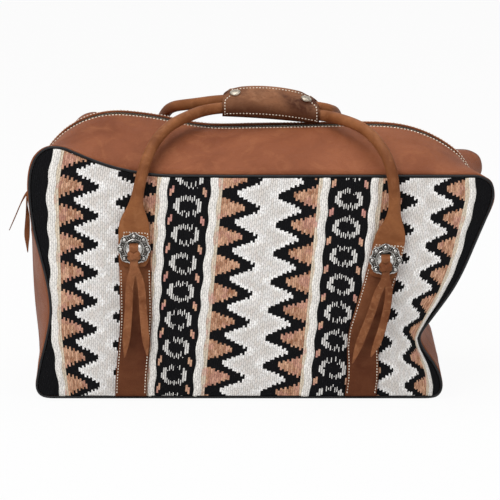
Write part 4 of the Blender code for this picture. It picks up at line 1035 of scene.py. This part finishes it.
zip_cloth = mottled("zip_tape_cloth", ((0.006, 0.006, 0.006, 1), (0.030, 0.028, 0.026, 1)), 0.85, 900.0,
                    run=(1.0, 3.0, 1.0), relief=(0.0003, 0.6))
brass = mottled("dark_brass", ((0.17, 0.12, 0.06, 1), (0.06, 0.044, 0.026, 1)), (0.30, 0.55), 200.0, 3.0,
                (0.4, 0.7, 0.0, 1.0), metallic=1.0)
coat("zip_slider", brass)
coat("zip_pull", brass)


def thinned_tape(spot, normal):
    """The tape is a little thinner where the slider ends its travel, so that it passes."""
    return -THINNED if abs(spot.y) < SLIDER_HALF and SHOULDER[0] < spot.x < SHOULDER[1] else 0.0


def along_zip(piece):
    """Points of a piece gathered by their turn about the bag's middle, from the left end to the right."""
    gathered = {}
    for vertex in piece.data.vertices:
        turn = math.atan2(vertex.co.x - CENTRE.x, vertex.co.z - CENTRE.z)
        gathered.setdefault(round(turn / TURN_STEP), []).append(vertex.co.copy())
    return [gathered[turn] for turn in sorted(gathered)]


tooth = primitive(bpy.ops.mesh.primitive_cube_add, size=1.0)
open_with(tooth, "VERT", lambda spot: True)
bpy.ops.transform.resize(value=TOOTH, center_override=NO_OFFSET)
bpy.ops.mesh.select_all(action="SELECT")
bpy.ops.mesh.bevel(offset=0.0003, segments=1)
bpy.ops.object.mode_set(mode="OBJECT")
tooth_pattern = points_and_faces(tooth)
for side, out in SIDES:
    tape = joined_copy(f"zip_tape_{side}", f"{side}_zip_tape_cloth", quads=False)
    rise(tape, thinned_tape)
    bpy.ops.object.shade_smooth_by_angle(angle=math.radians(40))
    dress(tape, zip_cloth, f"zip_tape_{side}")
    line = [sum(spots, Vector()) / len(spots) for spots in along_zip(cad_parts[f"zip_teeth_{side}"])]
    line = [(first + last) / 2 for first, last in zip(line, line[1:])]
    if side == "back":
        line[0] = line[0] + (line[1] - line[0]).normalized() * TOOTH_PITCH / 2
    inward = Vector((0.0, 1.0, 0.0))
    teeth = stamped(f"{side}_zip_teeth", tooth_pattern, [
        (Vector((place.x, out * (TOOTH[1] / 2 - TOOTH_OVERLAP), place.z)), ahead, inward,
         ahead.cross(inward).normalized()) for place, ahead in walk(line, TOOTH_PITCH)])
    bpy.ops.object.mode_set(mode="EDIT")
    bpy.ops.mesh.select_all(action="SELECT")
    bpy.ops.mesh.normals_make_consistent(inside=False)
    bpy.ops.object.mode_set(mode="OBJECT")
    dress(teeth, brass, f"zip_teeth_{side}")
    strip = bpy.data.objects[f"top_strip_{side}_leather"]
    surface = surface_of(strip)
    edge = [min(spots, key=lambda spot: abs(spot.y)) for spots in along_zip(strip)]
    row = []
    for near in zip(edge, edge[1:], edge[2:]):
        spot = sum(near, Vector()) / len(near)
        spot.y += out * EDGE_ROW
        away = (Vector((spot.x, 0.0, spot.z)) - CENTRE).normalized()
        row.append(just_off(surface, spot + away * 0.1, -away))
    sew(f"{side}_zip_stitches", [row], surface, 0.0040, 0.0022, 0.0018)

pull_thong = joined_copy("zip_thong", "zip_pull_lace")
refine(pull_thong, 2, 70.0, 60.0)
dress(pull_thong, thong_leather, "zip_thong", "pull")


# Lining and base board
# A plain dark cloth lining hangs inside and is open under the zip. A stiff fibre board lies in
# the base.

LINING_FOLD = 0.006

lining_cloth = mottled("lining_cloth", ((0.045, 0.038, 0.033, 1), (0.085, 0.073, 0.063, 1)), 0.85, 1200.0,
                       relief=(0.0002, 0.5))
fibre_board = mottled("fibre_board", ((0.24, 0.18, 0.12, 1), (0.13, 0.095, 0.060, 1)), 0.8, 260.0, 4.0,
                      run=(1.0, 2.5, 1.0))
coat("base_board", fibre_board)
lining = joined_copy("lining", "lining_cloth_bag")
refine(lining, 2)
for vertex in lining.data.vertices:
    spot = vertex.co
    loose = between(spot.z, 0.02, 0.07) * (1.0 - between(spot.z, 0.20, 0.235))
    inward = Vector((-spot.x, -spot.y * 3.0, 0.0)).normalized()
    fold = 0.5 + 0.5 * noise.noise(Vector((spot.x * 22, spot.y * 22, spot.z * 7)))
    vertex.co += inward * LINING_FOLD * loose * fold
slump(lining)
dress(lining, lining_cloth, "lining")


# Studio
# The bag stands on a white sweep under soft light, and the camera looks at its front from a
# little above, with a long lens.

FLOOR_SIZE = (14.0, 9.0, 1.0)
PAPER = (0.72, 0.72, 0.72, 1)
SEEN_WHITE, MIRRORED_WHITE = 0.94, 0.30
SKY_LIGHT = 0.45
LAMP_AIM = Vector((0.0, 0.0, 0.15))

floor = primitive(bpy.ops.mesh.primitive_plane_add, size=1.0, location=(0.0, 0.0, -0.0005))
floor.name = "studio_floor"
open_with(floor, "VERT", lambda spot: True)
bpy.ops.transform.resize(value=FLOOR_SIZE)
open_with(floor, "EDGE", lambda first, last: min(first.y, last.y) > 0)
bpy.ops.mesh.extrude_region_move(TRANSFORM_OT_translate={"value": (0.0, 1.5, 0.7)})
bpy.ops.mesh.extrude_region_move(TRANSFORM_OT_translate={"value": (0.0, 0.7, 5.0)})
bpy.ops.object.mode_set(mode="OBJECT")
paper, tree, shader = new_finish("white_paper", 0.9)
shader.inputs["Base Color"].default_value = PAPER
glow = put(tree, "ShaderNodeEmission")
seen = put(tree, "ShaderNodeLightPath").outputs
seen_white = plus(tree, times(tree, seen["Is Camera Ray"], SEEN_WHITE),
                  times(tree, seen["Is Glossy Ray"], MIRRORED_WHITE))
mix = put(tree, "ShaderNodeMixShader")
for value, socket in zip((seen_white, shader.outputs[0], glow.outputs[0]), mix.inputs):
    tree.links.new(value, socket)
tree.links.new(mix.outputs[0], tree.nodes["Material Output"].inputs["Surface"])
floor.data.materials.append(paper)

for name, place, size, power in (("window_light", (-1.4, -2.2, 2.2), 1.8, 46.0),
                                 ("fill_light", (2.2, -1.8, 1.4), 1.8, 14.0),
                                 ("top_light", (0.0, 0.3, 2.6), 2.0, 34.0)):
    bpy.ops.object.light_add(type="AREA", location=place)
    lamp = bpy.context.active_object
    lamp.name = name
    lamp.data.size = size
    lamp.data.energy = power
    lamp.rotation_euler = (LAMP_AIM - Vector(place)).to_track_quat("-Z", "Y").to_euler()

sky = bpy.data.worlds.new("studio_air")
sky.use_nodes = True
bpy.context.scene.world = sky
air = sky.node_tree.nodes["Background"]
air.inputs["Color"].default_value = (1.0, 1.0, 1.0, 1)
path = put(sky.node_tree, "ShaderNodeLightPath")
bright = work(sky.node_tree, "MAXIMUM", path.outputs["Is Camera Ray"], SKY_LIGHT)
sky.node_tree.links.new(bright, air.inputs["Strength"])

CAMERA_DISTANCE = 4.0
CAMERA_ELEVATION = math.radians(12.0)
VIEW_WIDTH = 0.5695
CAMERA_AIM = Vector((0.0125, -0.115, 0.1747))
SENSOR = 36.0
camera = bpy.data.objects.new("photo_camera", bpy.data.cameras.new("photo_camera"))
bpy.context.scene.collection.objects.link(camera)
back = Vector((0.0, -math.cos(CAMERA_ELEVATION), math.sin(CAMERA_ELEVATION)))
camera.location = CAMERA_AIM + CAMERA_DISTANCE * back
camera.rotation_euler = (math.pi / 2 - CAMERA_ELEVATION, 0.0, 0.0)
camera.data.sensor_width = SENSOR
camera.data.lens = SENSOR * CAMERA_DISTANCE / VIEW_WIDTH
camera.data.clip_end = 40.0
bpy.context.scene.camera = camera
bpy.context.scene.view_settings.view_transform = "Standard"
